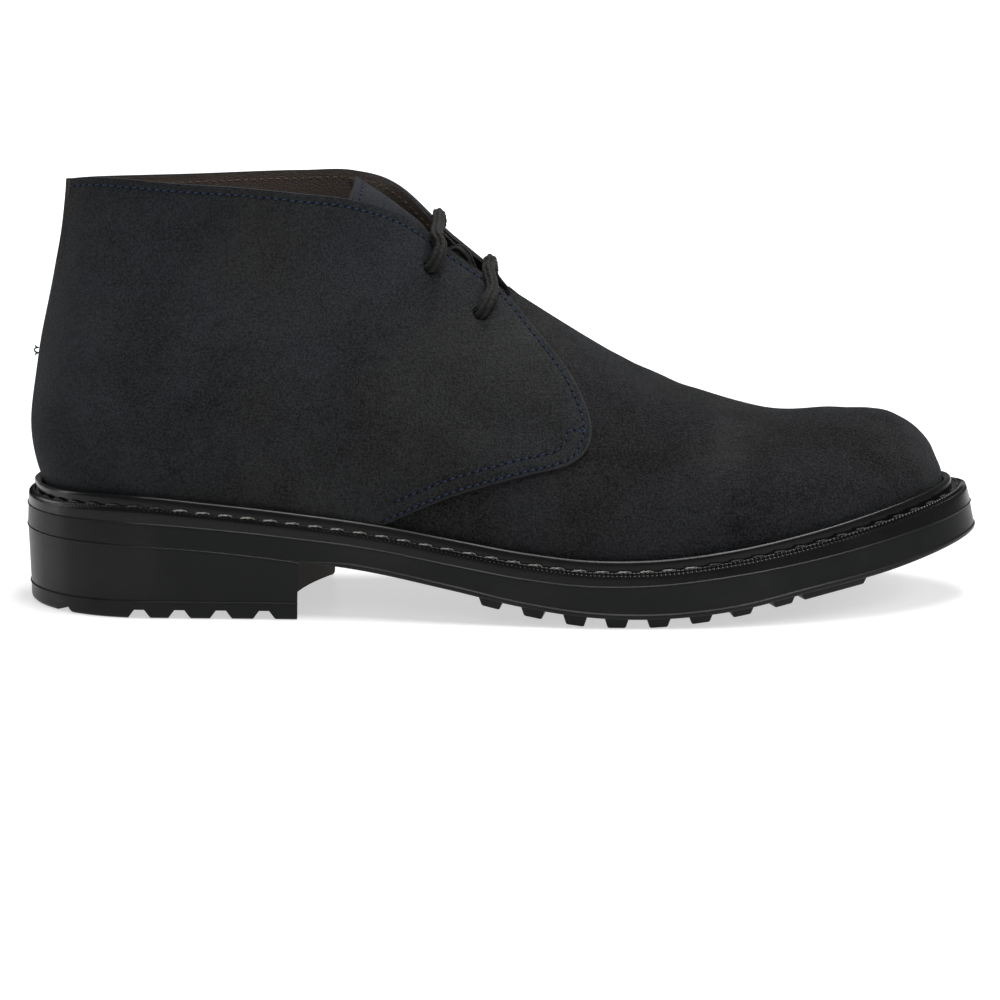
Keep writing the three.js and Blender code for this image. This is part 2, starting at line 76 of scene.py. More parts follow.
LACE_DIAMETER = 3.7
EYELETS = {"upper": (0.567, 0.862), "lower": (0.5245, 0.745)}  # turn, and height up the rib
EYELET_RADIUS = {"suede": 2.6, "lining": 2.3}
THROAT_SHARE = 0.5  # the turn at the throat's foot
TONGUE_ARCH = 76.0  # degrees each side of the middle
TONGUE_END = 8  # where the tongue's tip is, in the rows of its table
PANEL_ANGLE = 55  # the panels are shaded smooth, but not over edges sharper than this

SEAM_STITCH = {"pitch": 2.6, "length": 1.5, "width": 0.44, "height": 0.4}
# Dark discs of painted shade that stand for the needle holes between stitches.
NEEDLE_HOLE_SHADE = {"pitch": 2.6, "length": 1.3, "width": 0.78, "height": 0.3}
WELT_STITCH = {"pitch": 7.0, "length": 4.9, "width": 0.76, "height": 0.42}

# ------------------------------------------------------------------ Tables of sections
SOLE = """
at swing half weltTop weltBase soleBase tread ledge flare
0 -1.2 37.2 35.2 31.0 24.3 0.0 6.4 0.4
30 -1.7 37.2 36.5 31.3 24.0 0.0 4.8 0.3
60 -2.7 37.2 34.1 29.3 22.2 0.0 4.2 0.3
85 -3.7 37.2 31.4 26.8 19.4 0.0 4.2 0.3
110 -5.2 37.5 28.2 23.8 15.9 13.5 4.6 0.4
135 -6.7 40.5 24.3 19.6 11.2 8.6 5.0 0.5
160 -5.4 45.3 20.2 15.5 6.0 3.1 5.6 0.6
178 -3.8 49.3 18.4 13.9 3.7 0.3 6.0 0.7
198 -1.4 52.2 18.3 14.0 3.0 0.0 6.4 0.8
225 1.1 53.3 21.1 16.8 5.3 3.0 7.0 1.2
250 2.6 53.2 25.3 20.4 10.2 8.0 8.0 1.8
275 4.0 53.6 30.6 25.0 14.8 12.9 9.4 2.4
303 5.2 54.0 37.1 30.8 21.6 20.0 10.6 3.0
"""
UPPER = """
share topAt topHalf topSwing topHeight inner lean rise reach drop
0.0 268.0 0.0 4.8 60.2 0.0 -0.3 10.5 16.0 0.0
0.1 264.0 0.0 4.6 60.3 0.0 0.3 11.0 16.5 0.0
0.2 253.0 0.0 4.0 60.2 0.0 1.5 15.0 18.0 0.0
0.3 232.0 0.0 3.2 60.0 0.0 3.0 19.0 25.0 0.0
0.4 198.0 0.0 2.4 72.7 0.0 3.6 26.0 27.0 0.3
0.5 157.0 0.0 1.8 97.4 0.0 3.2 38.0 21.0 3.2
0.55 137.0 5.2 1.4 111.8 2.6 3.0 41.0 14.0 12.0
0.6 119.0 16.0 0.8 126.0 3.8 3.4 42.0 8.0 30.0
0.65 104.0 24.0 0.2 132.2 1.4 3.4 40.0 3.5 36.0
0.7 88.0 26.0 -0.2 133.7 -0.3 3.2 38.0 2.0 38.0
0.8 52.0 18.5 -1.2 134.2 -0.6 5.0 32.0 4.0 40.0
0.9 24.0 8.5 -1.2 134.9 -0.4 9.0 26.0 4.5 40.0
1.0 12.6 0.0 -1.2 135.1 0.0 14.4 22.0 2.0 38.0
"""
TONGUE = """
along at height half drop swing
0 170.0 80.0 13.0 12.0 2.0
1 154.0 91.5 11.0 18.0 1.8
2 145.0 97.0 8.5 20.0 1.6
3 138.0 102.0 6.6 23.0 1.4
4 132.4 109.0 6.6 26.0 1.0
5 127.2 119.0 8.6 27.0 0.9
6 119.0 126.0 12.0 20.0 0.8
7 112.0 131.0 16.0 12.0 0.4
8 105.3 134.9 19.0 5.0 0.2
"""
# The quarters' front edge, from the welt up to the throat: its turn at each height.
QUARTER_FRONT = """
up share
0.0 0.588
0.037 0.574
0.066 0.5625
0.132 0.5355
0.193 0.5088
0.256 0.4822
0.307 0.4622
0.345 0.4522
0.385 0.4458
0.43 0.442
0.47 0.4413
0.515 0.4423
0.577 0.4478
0.672 0.460
0.75 0.4755
0.84 0.494
0.92 0.509
1.0 0.520
"""
# How much lower the outer side's top edge is cut than the inner's, as a share of the ribs'
# height. Less than nothing is higher.
FACING = """
share cut
0.5 0.0
0.505 0.012
0.514 0.036
0.524 0.047
0.534 0.040
0.545 0.024
0.557 0.006
0.572 -0.007
0.59 -0.005
0.61 0.0
0.65 -0.001
0.7 -0.008
0.76 -0.017
0.82 -0.018
0.88 -0.018
0.93 -0.013
0.97 -0.005
1.0 0.0
"""


# ------------------------------------------------------------------ Smooth tables
def smooth(x, y):
    """A smooth curve through points, whose slope at each comes from both neighbours."""
    x, y = np.array(x, float), np.array(y, float)
    gap = np.diff(x)
    chord = np.diff(y) / gap
    slope = np.empty_like(y)
    slope[0], slope[-1] = chord[0], chord[-1]
    slope[1:-1] = (chord[:-1] * gap[1:] + chord[1:] * gap[:-1]) / (gap[:-1] + gap[1:])

    def value(at):
        t = np.clip(at, x[0], x[-1])
        i = np.clip(np.searchsorted(x, t, side="left") - 1, 0, len(x) - 2)
        span = x[i + 1] - x[i]
        s = (t - x[i]) / span
        rise = y[i + 1] - y[i]
        start = slope[i] * span - rise
        end = rise - slope[i + 1] * span
        return y[i] + s * rise + s * (1 - s) * (start * (1 - s) + end * s)

    return value


def columns(text):
    """A table's columns by name, each as a smooth curve over the first."""
    names, *rows = text.strip().split("\n")
    grid = np.array([[float(cell) for cell in row.split()] for row in rows])
    return {name: smooth(grid[:, 0], grid[:, k]) for k, name in enumerate(names.split())}


sole = columns(SOLE)
upper = columns(UPPER)
tongue_form = columns(TONGUE)
quarter_front = columns(QUARTER_FRONT)["share"]
facing = columns(FACING)["cut"]


def ease(x):
    """A soft step from 0 to 1."""
    x = np.clip(x, 0, 1)
    return x * x * (3 - 2 * x)


def hump(distance, width):
    """1 at no distance, and nearly nothing two widths away."""
    return np.exp(-((distance / width) ** 2))


def unit(v):
    return v / np.maximum(np.linalg.norm(v, axis=-1, keepdims=True), 1e-12)


def blend(a, b, share):
    return a + (b - a) * np.asarray(share)[..., None]


# ------------------------------------------------------------------ The sole's outline
def to_at(x):
    """From the frame's X to the place along the sole, from the heel's back."""
    return x + SOLE_LENGTH / 2


def edge_point(turn):
    """Once round the sole: 0 is the toe's tip, 0 to 1 the outer side, -1 to 0 the inner."""
    turn = np.asarray(turn, float)
    at = SOLE_LENGTH / 2 * (1 + np.cos(np.pi * turn))
    toe = np.maximum(0, at - (SOLE_LENGTH - TOE_ROUND[0])) / TOE_ROUND[0]
    heel = np.maximum(0, HEEL_ROUND[0] - at) / HEEL_ROUND[0]
    rounding = np.sqrt(np.maximum(0, (1 - toe ** TOE_ROUND[1]) * (1 - heel ** HEEL_ROUND[1])))
    side = np.where(np.sin(np.pi * turn) > 0, LATERAL, MEDIAL)
    y = sole["swing"](at) + side * sole["half"](at) * rounding
    return np.stack([at - SOLE_LENGTH / 2, y, np.zeros_like(at)], -1)


def edge_tangent(turn):
    step = 2e-3
    return unit(edge_point(turn + step) - edge_point(turn - step))


def edge_outward(turn):
    tangent = edge_tangent(turn)
    return np.stack([-tangent[..., 1], tangent[..., 0], np.zeros_like(tangent[..., 0])], -1)


def outline_point(turn, inset, height):
    """A point set in from the sole's edge, at a height that depends on where it then lies."""
    edge = edge_point(turn)
    by = inset(to_at(edge[..., 0])) if callable(inset) else inset
    point = edge - edge_outward(turn) * np.broadcast_to(by, edge.shape[:-1])[..., None]
    point[..., 2] = height(to_at(point[..., 0]))
    return point


def turn_at(at):
    """The outer side's turn at a place along the sole."""
    return math.acos(2 * at / SOLE_LENGTH - 1) / math.pi


# ------------------------------------------------------------------ The upper's surface
def facing_cut(turn, up):
    """How much lower the outer side lies up its ribs, which grows over their upper third."""
    return facing(np.clip(turn, THROAT_SHARE, 1)) * ease((up - 0.66) / 0.34)


def on_upper(turn, up, cut=True):
    """A point of the upper's outer face: a rib rises from the welt at each turn, as a curve."""
    turn, up = np.broadcast_arrays(np.asarray(turn, float), np.asarray(up, float))
    if cut:
        up = up - facing_cut(turn, up)
    share = np.abs(turn)
    side = np.where(turn >= 0, LATERAL, MEDIAL)
    foot = outline_point(turn, sole["ledge"], sole["weltTop"])
    foot[..., 2] += CLEARANCE
    top_y = upper["topSwing"](share) + side * upper["topHalf"](share)
    top_z = upper["topHeight"](share) + np.where(side == MEDIAL, upper["inner"](share), 0)
    top = np.stack([upper["topAt"](share) - SOLE_LENGTH / 2, top_y, top_z], -1)
    out = unit((foot - top) * (1, 1, 0))
    low = foot + edge_outward(turn) * upper["lean"](share)[..., None]
    low[..., 2] += upper["rise"](share)
    high = top + out * upper["reach"](share)[..., None]
    high[..., 2] -= upper["drop"](share)
    u = up[..., None]
    v = 1 - u
    return foot * v**3 + 3 * low * u * v**2 + 3 * high * u * u * v + top * u**3


def upper_normal(turn, up, cut=True):
    step = 1e-3
    higher, lower = np.minimum(up + step, 1), np.maximum(up - step, 0)
    rise = on_upper(turn, higher, cut) - on_upper(turn, lower, cut)
    along = on_upper(turn + step, up, cut) - on_upper(turn - step, up, cut)
    return unit(np.cross(rise, along))


def off_upper(turn, up, out, cut=True):
    """A point of the upper moved out by out. The two sides share the ridge ahead of the throat."""
    turn, up = np.broadcast_arrays(np.asarray(turn, float), np.asarray(up, float))
    normal = upper_normal(turn, up, cut)
    ridge = (np.abs(turn) <= THROAT_SHARE + 1e-6) & (up > 0.9999)
    if np.any(ridge):
        beside = np.maximum(np.abs(turn), 0.014)
        both = upper_normal(beside, up - 0.002, cut) + upper_normal(-beside, up - 0.002, cut)
        normal = np.where(ridge[..., None], unit(both), normal)
    return on_upper(turn, up, cut) + normal * np.broadcast_to(out, turn.shape)[..., None]


def moved_on_upper(turn, up, inward):
    """Moves a path on the upper sideways by inward millimetres, as turns and heights."""
    step = 1e-3
    by_turn = (on_upper(turn + step, up) - on_upper(turn - step, up)) / (2 * step)
    low, high = np.maximum(up - step, 0), np.minimum(up + step, 1)
    by_up = (on_upper(turn, high) - on_upper(turn, low)) / (high - low)[:, None]
    tangent = unit(np.gradient(on_upper(turn, up), axis=0))
    aside = unit(np.cross(upper_normal(turn, up), tangent))
    aside = aside * np.broadcast_to(inward, turn.shape)[:, None]
    turns, ups = [], []
    for k, target in enumerate(aside):
        base = np.stack([by_turn[k], by_up[k]], -1)
        found = np.linalg.lstsq(base, target, rcond=None)[0]
        turns.append(turn[k] + found[0])
        ups.append(up[k] + found[1])
    return np.array(turns), np.array(ups)


def lengths(points):
    """How far along a path each of its points lies."""
    steps = np.linalg.norm(np.diff(points, axis=0), axis=1)
    return np.concatenate([[0], np.cumsum(steps)])


def sampled(spot, along, points):
    """The points a path passes at given lengths along it."""
    return np.stack([np.interp(spot, along, points[:, k]) for k in range(3)], -1)


# ------------------------------------------------------------------ Seams and stitch rows
ROW_ONE_LOW, ROW_ONE_HIGH = 1.35, 2.4  # from the edge in to the first row
ROW_TWO_INSET = 5.4
FRONT_UPS = np.linspace(0, 1, 200)
FRONT_SHARES = quarter_front(FRONT_UPS)
FRONT_LENGTHS = lengths(on_upper(FRONT_SHARES, FRONT_UPS))


def front_up(v):
    """The height on the quarters' front edge at each share v of that edge's length."""
    return np.interp(v * FRONT_LENGTHS[-1], FRONT_LENGTHS, FRONT_UPS)


def edge_row():
    """A row inside the outer quarter's free edge: up the front, the facing and the collar."""
    collar = np.linspace(0.530, 0.999, 240)
    shares = np.concatenate([FRONT_SHARES, collar])
    ups = np.concatenate([FRONT_UPS, np.ones_like(collar)])
    along = lengths(on_upper(shares, ups))
    even = np.linspace(0, along[-1], 420)
    shares, ups = np.interp(even, along, shares), np.interp(even, along, ups)
    window = np.hanning(15)[1:-1]
    weights = window / window.sum()
    pad = len(weights) // 2
    for _ in range(2):  # rounds the corner where the front edge meets the facing
        shares = np.convolve(np.pad(shares, pad, mode="edge"), weights, "valid")
        ups = np.convolve(np.pad(ups, pad, mode="edge"), weights, "valid")
    inset = ROW_ONE_LOW + (ROW_ONE_HIGH - ROW_ONE_LOW) * ease((ups - 0.32) / 0.1)
    shares, ups = moved_on_upper(shares, ups, inset)
    keep = (ups > 0.03) & (shares < 0.9985)
    return shares[keep], ups[keep]


def second_row():
    """The row further in along the lower edge, which turns up at the front and joins row one."""
    ups = front_up(np.linspace(0.02, 0.44, 90))
    shares, ups = moved_on_upper(quarter_front(ups), ups, ROW_TWO_INSET)
    keep = (ups > 0.09) & (ups < 0.372) & (shares > 0.4625)
    shares, ups = shares[keep], ups[keep]
    loop_shares = smooth(range(6), [shares[-1], 0.4592, 0.4588, 0.4575, 0.4525, 0.4478])
    loop_ups = smooth(range(6), [ups[-1], 0.398, 0.42, 0.438, 0.4525, 0.4525])
    steps = np.linspace(0, 5, 30)[1:]
    shares = np.concatenate([shares, loop_shares(steps)])
    return shares, np.concatenate([ups, loop_ups(steps)])


ROW_ONE = edge_row()
ROW_TWO = second_row()


def nearest(points, path):
    """The distance from each point to a path of points."""
    found = np.empty(len(points))
    for k in range(0, len(points), 2000):
        apart = points[k : k + 2000, None, :] - path[None, :, :]
        found[k : k + 2000] = np.sqrt((apart**2).sum(-1).min(1))
    return found


def dense(shares, ups, side, count=600):
    """A row of turns and heights as many points in space, on one side."""
    spread = np.linspace(0, len(shares) - 1, count)
    index = np.arange(len(shares))
    return on_upper(side * np.interp(spread, index, shares), np.interp(spread, index, ups))


FRONT_LINES = {side: dense(FRONT_SHARES, FRONT_UPS, side) for side in (1, -1)}
ROW_LINES = {
    side: np.concatenate([dense(*ROW_ONE, side), dense(*ROW_TWO, side, 300)]) for side in (1, -1)
}
SEWN_PRESS = (0.28, 0.8)  # how deep a row of stitches draws the suede in, and how wide
EYELET_PRESS = (0.55, 4.2)
EYELET_POINTS = {
    side: np.array([on_upper(side * share, up, cut=False) for share, up in EYELETS.values()])
    for side in (1, -1)
}


def behind_front(turn, up):
    """How far a point lies behind the quarters' front edge; negative ahead of it."""
    points = on_upper(turn, up)
    apart = np.where(turn >= 0, nearest(points, FRONT_LINES[1]), nearest(points, FRONT_LINES[-1]))
    return np.where(np.abs(turn) > quarter_front(up), apart, -apart)


def proud(behind):
    """How far a quarter stands out, as it lies on the vamp and then runs down behind it."""
    return PROUD * (1 - ease(behind / PROUD_FADE))


def slack(turn, up):
    """Soft unevenness of the leather where it isn't held by a seam, the sole or an edge."""
    held = ease(up / 0.18) * ease((1 - up) / 0.12)
    wave = np.sin(19 * turn + 7 * up + 0.6) * np.sin(9 * up + 4 * turn + 1.1)
    wave = wave + 0.6 * np.sin(41 * turn - 11 * up) * np.sin(15 * up + 2.0)
    return 0.22 * held * wave


def instep_fold(turn, up):
    """Two soft troughs across the vamp, where it first gives when the boot is walked in."""
    share = np.abs(turn)
    over = ease((up - 0.3) / 0.5)
    first = 0.34 * hump(share - (0.375 - 0.02 * (1 - up)), 0.011)
    second = 0.22 * hump(share - (0.412 - 0.03 * (1 - up)), 0.009)
    return -over * (first + second)


# ------------------------------------------------------------------ Making meshes
def select_only(obj):
    bpy.ops.object.select_all(action="DESELECT")
    obj.select_set(True)
    bpy.context.view_layer.objects.active = obj


def points_of(obj):
    flat = np.empty(len(obj.data.vertices) * 3, np.float32)
    obj.data.vertices.foreach_get("co", flat)
    return flat.reshape(-1, 3).astype(float)


def put_points(obj, points):
    """Moves every corner of a mesh to its place, in metres."""
    obj.data.vertices.foreach_set("co", np.asarray(points, np.float32).ravel())
    obj.data.update()


def in_edit_mode(obj, *steps):
    """Runs edit-mode steps on the whole of a mesh."""
    select_only(obj)
    bpy.ops.object.mode_set(mode="EDIT")
    bpy.ops.mesh.select_all(action="SELECT")
    for step in steps:
        step()
    bpy.ops.object.mode_set(mode="OBJECT")


def merge():
    bpy.ops.mesh.remove_doubles(threshold=4e-6)


def face_out():
    bpy.ops.mesh.normals_make_consistent(inside=False)


def apply(obj, kind, **settings):
    select_only(obj)
    modifier = obj.modifiers.new(kind.title(), kind)
    for name, value in settings.items():
        setattr(modifier, name, value)
    bpy.ops.object.modifier_apply(modifier=modifier.name)


def named(obj, name):
    obj.name = name
    obj.data.name = name
    return obj


def laid_grid(name, across, along, place):
    """A grid whose corners place(u, v) lays out, in millimetres."""
    bpy.ops.object.select_all(action="DESELECT")
    bpy.ops.mesh.primitive_grid_add(x_subdivisions=across, y_subdivisions=along, size=1)
    obj = named(bpy.context.active_object, name)
    flat = points_of(obj)
    u, v = np.round(flat[:, 0] + 0.5, 6), np.round(flat[:, 1] + 0.5, 6)
    put_points(obj, place(u, v) * MM)
    return obj


def give_wall(obj, wall, face, rim, **settings):
    """Thickens a sheet inwards. Its cut edges get a finish of their own."""
    obj.data.materials.append(face)
    obj.data.materials.append(rim)
    apply(obj, "SOLIDIFY", thickness=wall * MM, offset=-1, material_offset_rim=1, **settings)
    obj.vertex_groups.clear()


def shade(obj, angle=None):
    select_only(obj)
    if angle is None:
        bpy.ops.object.shade_smooth()
    else:
        bpy.ops.object.shade_smooth_by_angle(angle=math.radians(angle))


def cut(obj, tool, operation="DIFFERENCE"):
    apply(obj, "BOOLEAN", object=tool, operation=operation, solver="EXACT")
    bpy.data.objects.remove(tool)


def joined(name, objects):
    select_only(objects[0])
    for obj in objects:
        obj.select_set(True)
    bpy.ops.object.join()
    return named(bpy.context.active_object, name)


def settle(obj, material, slot, *replaced):
    """Gives a finished piece its place on the body, and its material unless it has its own."""
    if material:
        obj.data.materials.clear()
        obj.data.materials.append(material)
    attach(obj, "root")
    if replaced:
        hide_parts(*replaced)
    return obj


# ------------------------------------------------------------------ Shader groups
class Tree:
    """A short way to place and link shader nodes."""

    def __init__(self, tree):
        self.tree = tree

    def node(self, kind, **settings):
        made = self.tree.nodes.new(kind)
        for name, value in settings.items():
            setattr(made, name, value)
        return made

    def link(self, source, target):
        self.tree.links.new(source, target)

    def feed(self, target, value):
        if isinstance(value, bpy.types.NodeSocket):
            self.link(value, target)
        else:
            target.default_value = value

    def noise(self, vector, scale, detail=2.0, roughness=0.5, distortion=0.0):
        made = self.node("ShaderNodeTexNoise")
        self.link(vector, made.inputs["Vector"])
        self.feed(made.inputs["Scale"], scale)
        made.inputs["Detail"].default_value = detail
        made.inputs["Roughness"].default_value = roughness
        made.inputs["Distortion"].default_value = distortion
        return made.outputs["Fac"]

    def math(self, operation, *values):
        made = self.node("ShaderNodeMath", operation=operation)
        for socket, value in zip(made.inputs, values):
            self.feed(socket, value)
        return made.outputs[0]

    def spread(self, value, low, high, to_low=0.0, to_high=1.0):
        made = self.node("ShaderNodeMapRange", interpolation_type="SMOOTHSTEP")
        for name, given in zip(
            ("Value", "From Min", "From Max", "To Min", "To Max"),
            (value, low, high, to_low, to_high),
        ):
            self.feed(made.inputs[name], given)
        return made.outputs["Result"]

    def mix(self, share, first, second):
        made = self.node("ShaderNodeMix", data_type="RGBA")
        self.feed(made.inputs["Factor"], share)
        self.feed(made.inputs[6], first)
        self.feed(made.inputs[7], second)
        return made.outputs[2]


def shader_group(name, inputs, outputs):
    group = bpy.data.node_groups.new(name, "ShaderNodeTree")
    kinds = {"value": "NodeSocketFloat", "colour": "NodeSocketColor", "vector": "NodeSocketVector"}
    for label, kind, value in inputs:
        socket = group.interface.new_socket(name=label, in_out="INPUT", socket_type=kinds[kind])
        if value is not None:
            socket.default_value = value
    for label, kind in outputs:
        group.interface.new_socket(name=label, in_out="OUTPUT", socket_type=kinds[kind])
    tree = Tree(group)
    return group, tree, tree.node("NodeGroupInput"), tree.node("NodeGroupOutput")


def nap_group():
    """Suede: patches of nap that lie two ways, a fine fibre grain and faint rubbed places."""
    group, tree, given, out = shader_group(
        "suede_nap",
        [
            ("Place", "vector", None),
            ("Colour", "colour", (0.02, 0.02, 0.02, 1)),
            ("Cool Colour", "colour", (0.02, 0.021, 0.024, 1)),
            ("Patches", "value", 0.5),
            ("Grain", "value", 0.5),
            ("Fibre Scale", "value", 1.0),
        ],
        [("Colour", "colour"), ("Height", "value"), ("Roughness", "value")],
    )
    place, scale = given.outputs["Place"], given.outputs["Fibre Scale"]
    wide = tree.noise(place, 26, 3, 0.55, 0.6)
    close = tree.noise(place, 110, 2, 0.5, 0.3)
    fibre = tree.noise(place, tree.math("MULTIPLY", scale, 1500), 2, 0.6, 0.5)
    fine = tree.noise(place, tree.math("MULTIPLY", scale, 2900), 2, 0.6)
    patches = tree.math("ADD", tree.math("MULTIPLY", wide, 0.8), tree.math("MULTIPLY", close, 0.2))
    patches = tree.math("SUBTRACT", tree.spread(patches, 0.3, 0.7), 0.5)
    grain = tree.math("SUBTRACT", tree.spread(fibre, 0.28, 0.72), 0.5)
    speck = tree.math("SUBTRACT", fine, 0.5)
    light = tree.math("MULTIPLY_ADD", patches, given.outputs["Patches"], 1.0)
    light = tree.math("MULTIPLY_ADD", grain, given.outputs["Grain"], light)
    light = tree.math("MULTIPLY_ADD", speck, given.outputs["Grain"], light)
    cool = tree.spread(tree.noise(place, 17, 2, 0.5, 0.4), 0.38, 0.62)
    dyed = tree.mix(cool, given.outputs["Colour"], given.outputs["Cool Colour"])
    scaled = tree.node("ShaderNodeVectorMath", operation="SCALE")
    tree.link(dyed, scaled.inputs[0])
    tree.link(light, scaled.inputs["Scale"])
    tree.link(scaled.outputs[0], out.inputs["Colour"])
    height = tree.math("ADD", tree.math("MULTIPLY", fibre, 0.7), tree.math("MULTIPLY", fine, 0.4))
    tree.link(height, out.inputs["Height"])
    tree.link(tree.spread(fibre, 0.2, 0.8, 0.9, 1.0), out.inputs["Roughness"])
    return group


def rubber_group():
    """Moulded rubber: a satin skin with faint lengthwise drag marks and a little dust."""
    group, tree, given, out = shader_group(
        "moulded_rubber",
        [
            ("Place", "vector", None),
            ("Colour", "colour", (0.012, 0.012, 0.012, 1)),
            ("Gloss", "value", 0.5),
            ("Dust", "value", 0.3),
        ],
        [("Colour", "colour"), ("Height", "value"), ("Roughness", "value")],
    )
    place = given.outputs["Place"]
    drawn = tree.node("ShaderNodeMapping")
    drawn.inputs["Scale"].default_value = (0.12, 0.12, 1.0)
    tree.link(place, drawn.inputs["Vector"])
    drag = tree.noise(drawn.outputs["Vector"], 420, 3, 0.6)
    cloud = tree.noise(place, 34, 3, 0.55)
    pore = tree.noise(place, 1700, 2, 0.6)
    dusty = tree.math("MULTIPLY", tree.spread(cloud, 0.4, 0.75), given.outputs["Dust"])
    dull = (0.05, 0.049, 0.047, 1)
    tree.link(
        tree.mix(tree.math("MULTIPLY", dusty, 0.22), given.outputs["Colour"], dull),
        out.inputs["Colour"],
    )
    rough = tree.math("MULTIPLY_ADD", drag, 0.12, given.outputs["Gloss"])
    tree.link(tree.math("MULTIPLY_ADD", dusty, 0.14, rough), out.inputs["Roughness"])
    height = tree.math("ADD", tree.math("MULTIPLY", drag, 0.6), tree.math("MULTIPLY", pore, 0.4))
    tree.link(height, out.inputs["Height"])
    return group


def hide_group():
    """Smooth leather: pebbled pores with creases between them."""
    group, tree, given, out = shader_group(
        "smooth_leather",
        [
            ("Place", "vector", None),
            ("Colour", "colour", (0.04, 0.03, 0.02, 1)),
            ("Rubbed", "colour", (0.07, 0.05, 0.035, 1)),
        ],
        [("Colour", "colour"), ("Height", "value"), ("Roughness", "value")],
    )
    place = given.outputs["Place"]
    pebbles = tree.node("ShaderNodeTexVoronoi", feature="DISTANCE_TO_EDGE")
    tree.link(place, pebbles.inputs["Vector"])
    pebbles.inputs["Scale"].default_value = 950
    pebble = tree.spread(pebbles.outputs["Distance"], 0.0, 0.25)
    cloud = tree.noise(place, 60, 3, 0.6)
    worn = tree.math("MULTIPLY", tree.spread(cloud, 0.4, 0.75), pebble)
    tree.link(tree.mix(worn, given.outputs["Colour"], given.outputs["Rubbed"]), out.inputs["Colour"])
    tree.link(pebble, out.inputs["Height"])
    tree.link(tree.spread(cloud, 0.3, 0.7, 0.5, 0.66), out.inputs["Roughness"])
    return group


def thread_group():
    """Spun yarn: plies that wind round the thread, along the piece's own UV map."""
    group, tree, given, out = shader_group(
        "spun_yarn",
        [
            ("Map", "vector", None),
            ("Place", "vector", None),
            ("Colour", "colour", (0.03, 0.03, 0.03, 1)),
            ("Shadow", "colour", (0.01, 0.01, 0.01, 1)),
            ("Plies Round", "value", 4.0),
            ("Plies Along", "value", 4.0),
        ],
        [("Colour", "colour"), ("Height", "value")],
    )
    split = tree.node("ShaderNodeSeparateXYZ")
    tree.link(given.outputs["Map"], split.inputs[0])
    around = tree.math("MULTIPLY", split.outputs["X"], given.outputs["Plies Round"])
    along = tree.math("MULTIPLY", split.outputs["Y"], given.outputs["Plies Along"])
    wound = tree.math("MULTIPLY", tree.math("ADD", around, along), 2 * math.pi)
    ply = tree.math("MULTIPLY_ADD", tree.math("SINE", wound), 0.5, 0.5)
    fuzz = tree.noise(given.outputs["Place"], 2600, 2, 0.6)
    lit = tree.math("MULTIPLY_ADD", fuzz, 0.5, tree.math("MULTIPLY", ply, 0.7))
    tree.link(tree.mix(lit, given.outputs["Shadow"], given.outputs["Colour"]), out.inputs["Colour"])
    tree.link(tree.math("MULTIPLY_ADD", fuzz, 0.25, ply), out.inputs["Height"])
    return group


NAP, RUBBER, HIDE, YARN = nap_group(), rubber_group(), hide_group(), thread_group()


# ------------------------------------------------------------------ Materials
def grey(red, green, blue):
    """A screen colour, each part from 0 to 255, as the shader's own."""

    def linear(part):
        return ((part / 255 + 0.055) / 1.055) ** 2.4 if part > 10 else part / 255 / 12.92

    return (linear(red), linear(green), linear(blue), 1.0)


def finish(name, group, given, bump, **constants):
    """A material: one group's colour, roughness and height on a surface of constant sheen."""
    made = bpy.data.materials.new(name)
    made.use_nodes = True
    made.node_tree.nodes.clear()
    tree = Tree(made.node_tree)
    surface = tree.node("ShaderNodeBsdfPrincipled")
    output = tree.node("ShaderNodeOutputMaterial")
    tree.link(surface.outputs["BSDF"], output.inputs["Surface"])
    where = tree.node("ShaderNodeTexCoord")
    effect = tree.node("ShaderNodeGroup", node_tree=group)
    tree.link(where.outputs["Object"], effect.inputs["Place"])
    if "Map" in effect.inputs:
        tree.link(where.outputs["UV"], effect.inputs["Map"])
    for label, value in given.items():
        effect.inputs[label].default_value = value
    tree.link(effect.outputs["Colour"], surface.inputs["Base Color"])
    if "Roughness" in effect.outputs:
        tree.link(effect.outputs["Roughness"], surface.inputs["Roughness"])
    relief = tree.node("ShaderNodeBump")
    relief.inputs["Distance"].default_value = bump * MM
    tree.link(effect.outputs["Height"], relief.inputs["Height"])
    tree.link(relief.outputs["Normal"], surface.inputs["Normal"])
    for label, value in constants.items():
        surface.inputs[label.replace("_", " ")].default_value = value
    return made


def suede(name, colour, cool, patches, grain, scale=1.0):
    given = {
        "Colour": colour,
        "Cool Colour": cool,
        "Patches": patches,
        "Grain": grain,
        "Fibre Scale": scale,
    }
    constants = {
        "Sheen_Weight": 0.03,
        "Sheen_Roughness": 0.45,
        "Sheen_Tint": (0.9, 0.93, 1, 1),
        "Specular_IOR_Level": 0.12,
    }
    return finish(name, NAP, given, 0.5, **constants)


def leather(name, colour, rubbed, bump, specular=0.5):
    given = {"Colour": colour, "Rubbed": rubbed}
    return finish(name, HIDE, given, bump, Specular_IOR_Level=specular)


def rubber(name, colour, gloss, dust, bump, specular):
    """Gloss is the roughness of the clean skin; dust dulls it further."""
    given = {"Colour": colour, "Gloss": gloss, "Dust": dust}
    return finish(name, RUBBER, given, bump, Specular_IOR_Level=specular)


def yarn(name, colour, shadow, around, along, bump):
    given = {"Colour": colour, "Shadow": shadow, "Plies Round": around, "Plies Along": along}
    constants = {"Roughness": 0.75, "Sheen_Weight": 0.03, "Specular_IOR_Level": 0.15}
    return finish(name, YARN, given, bump, **constants)


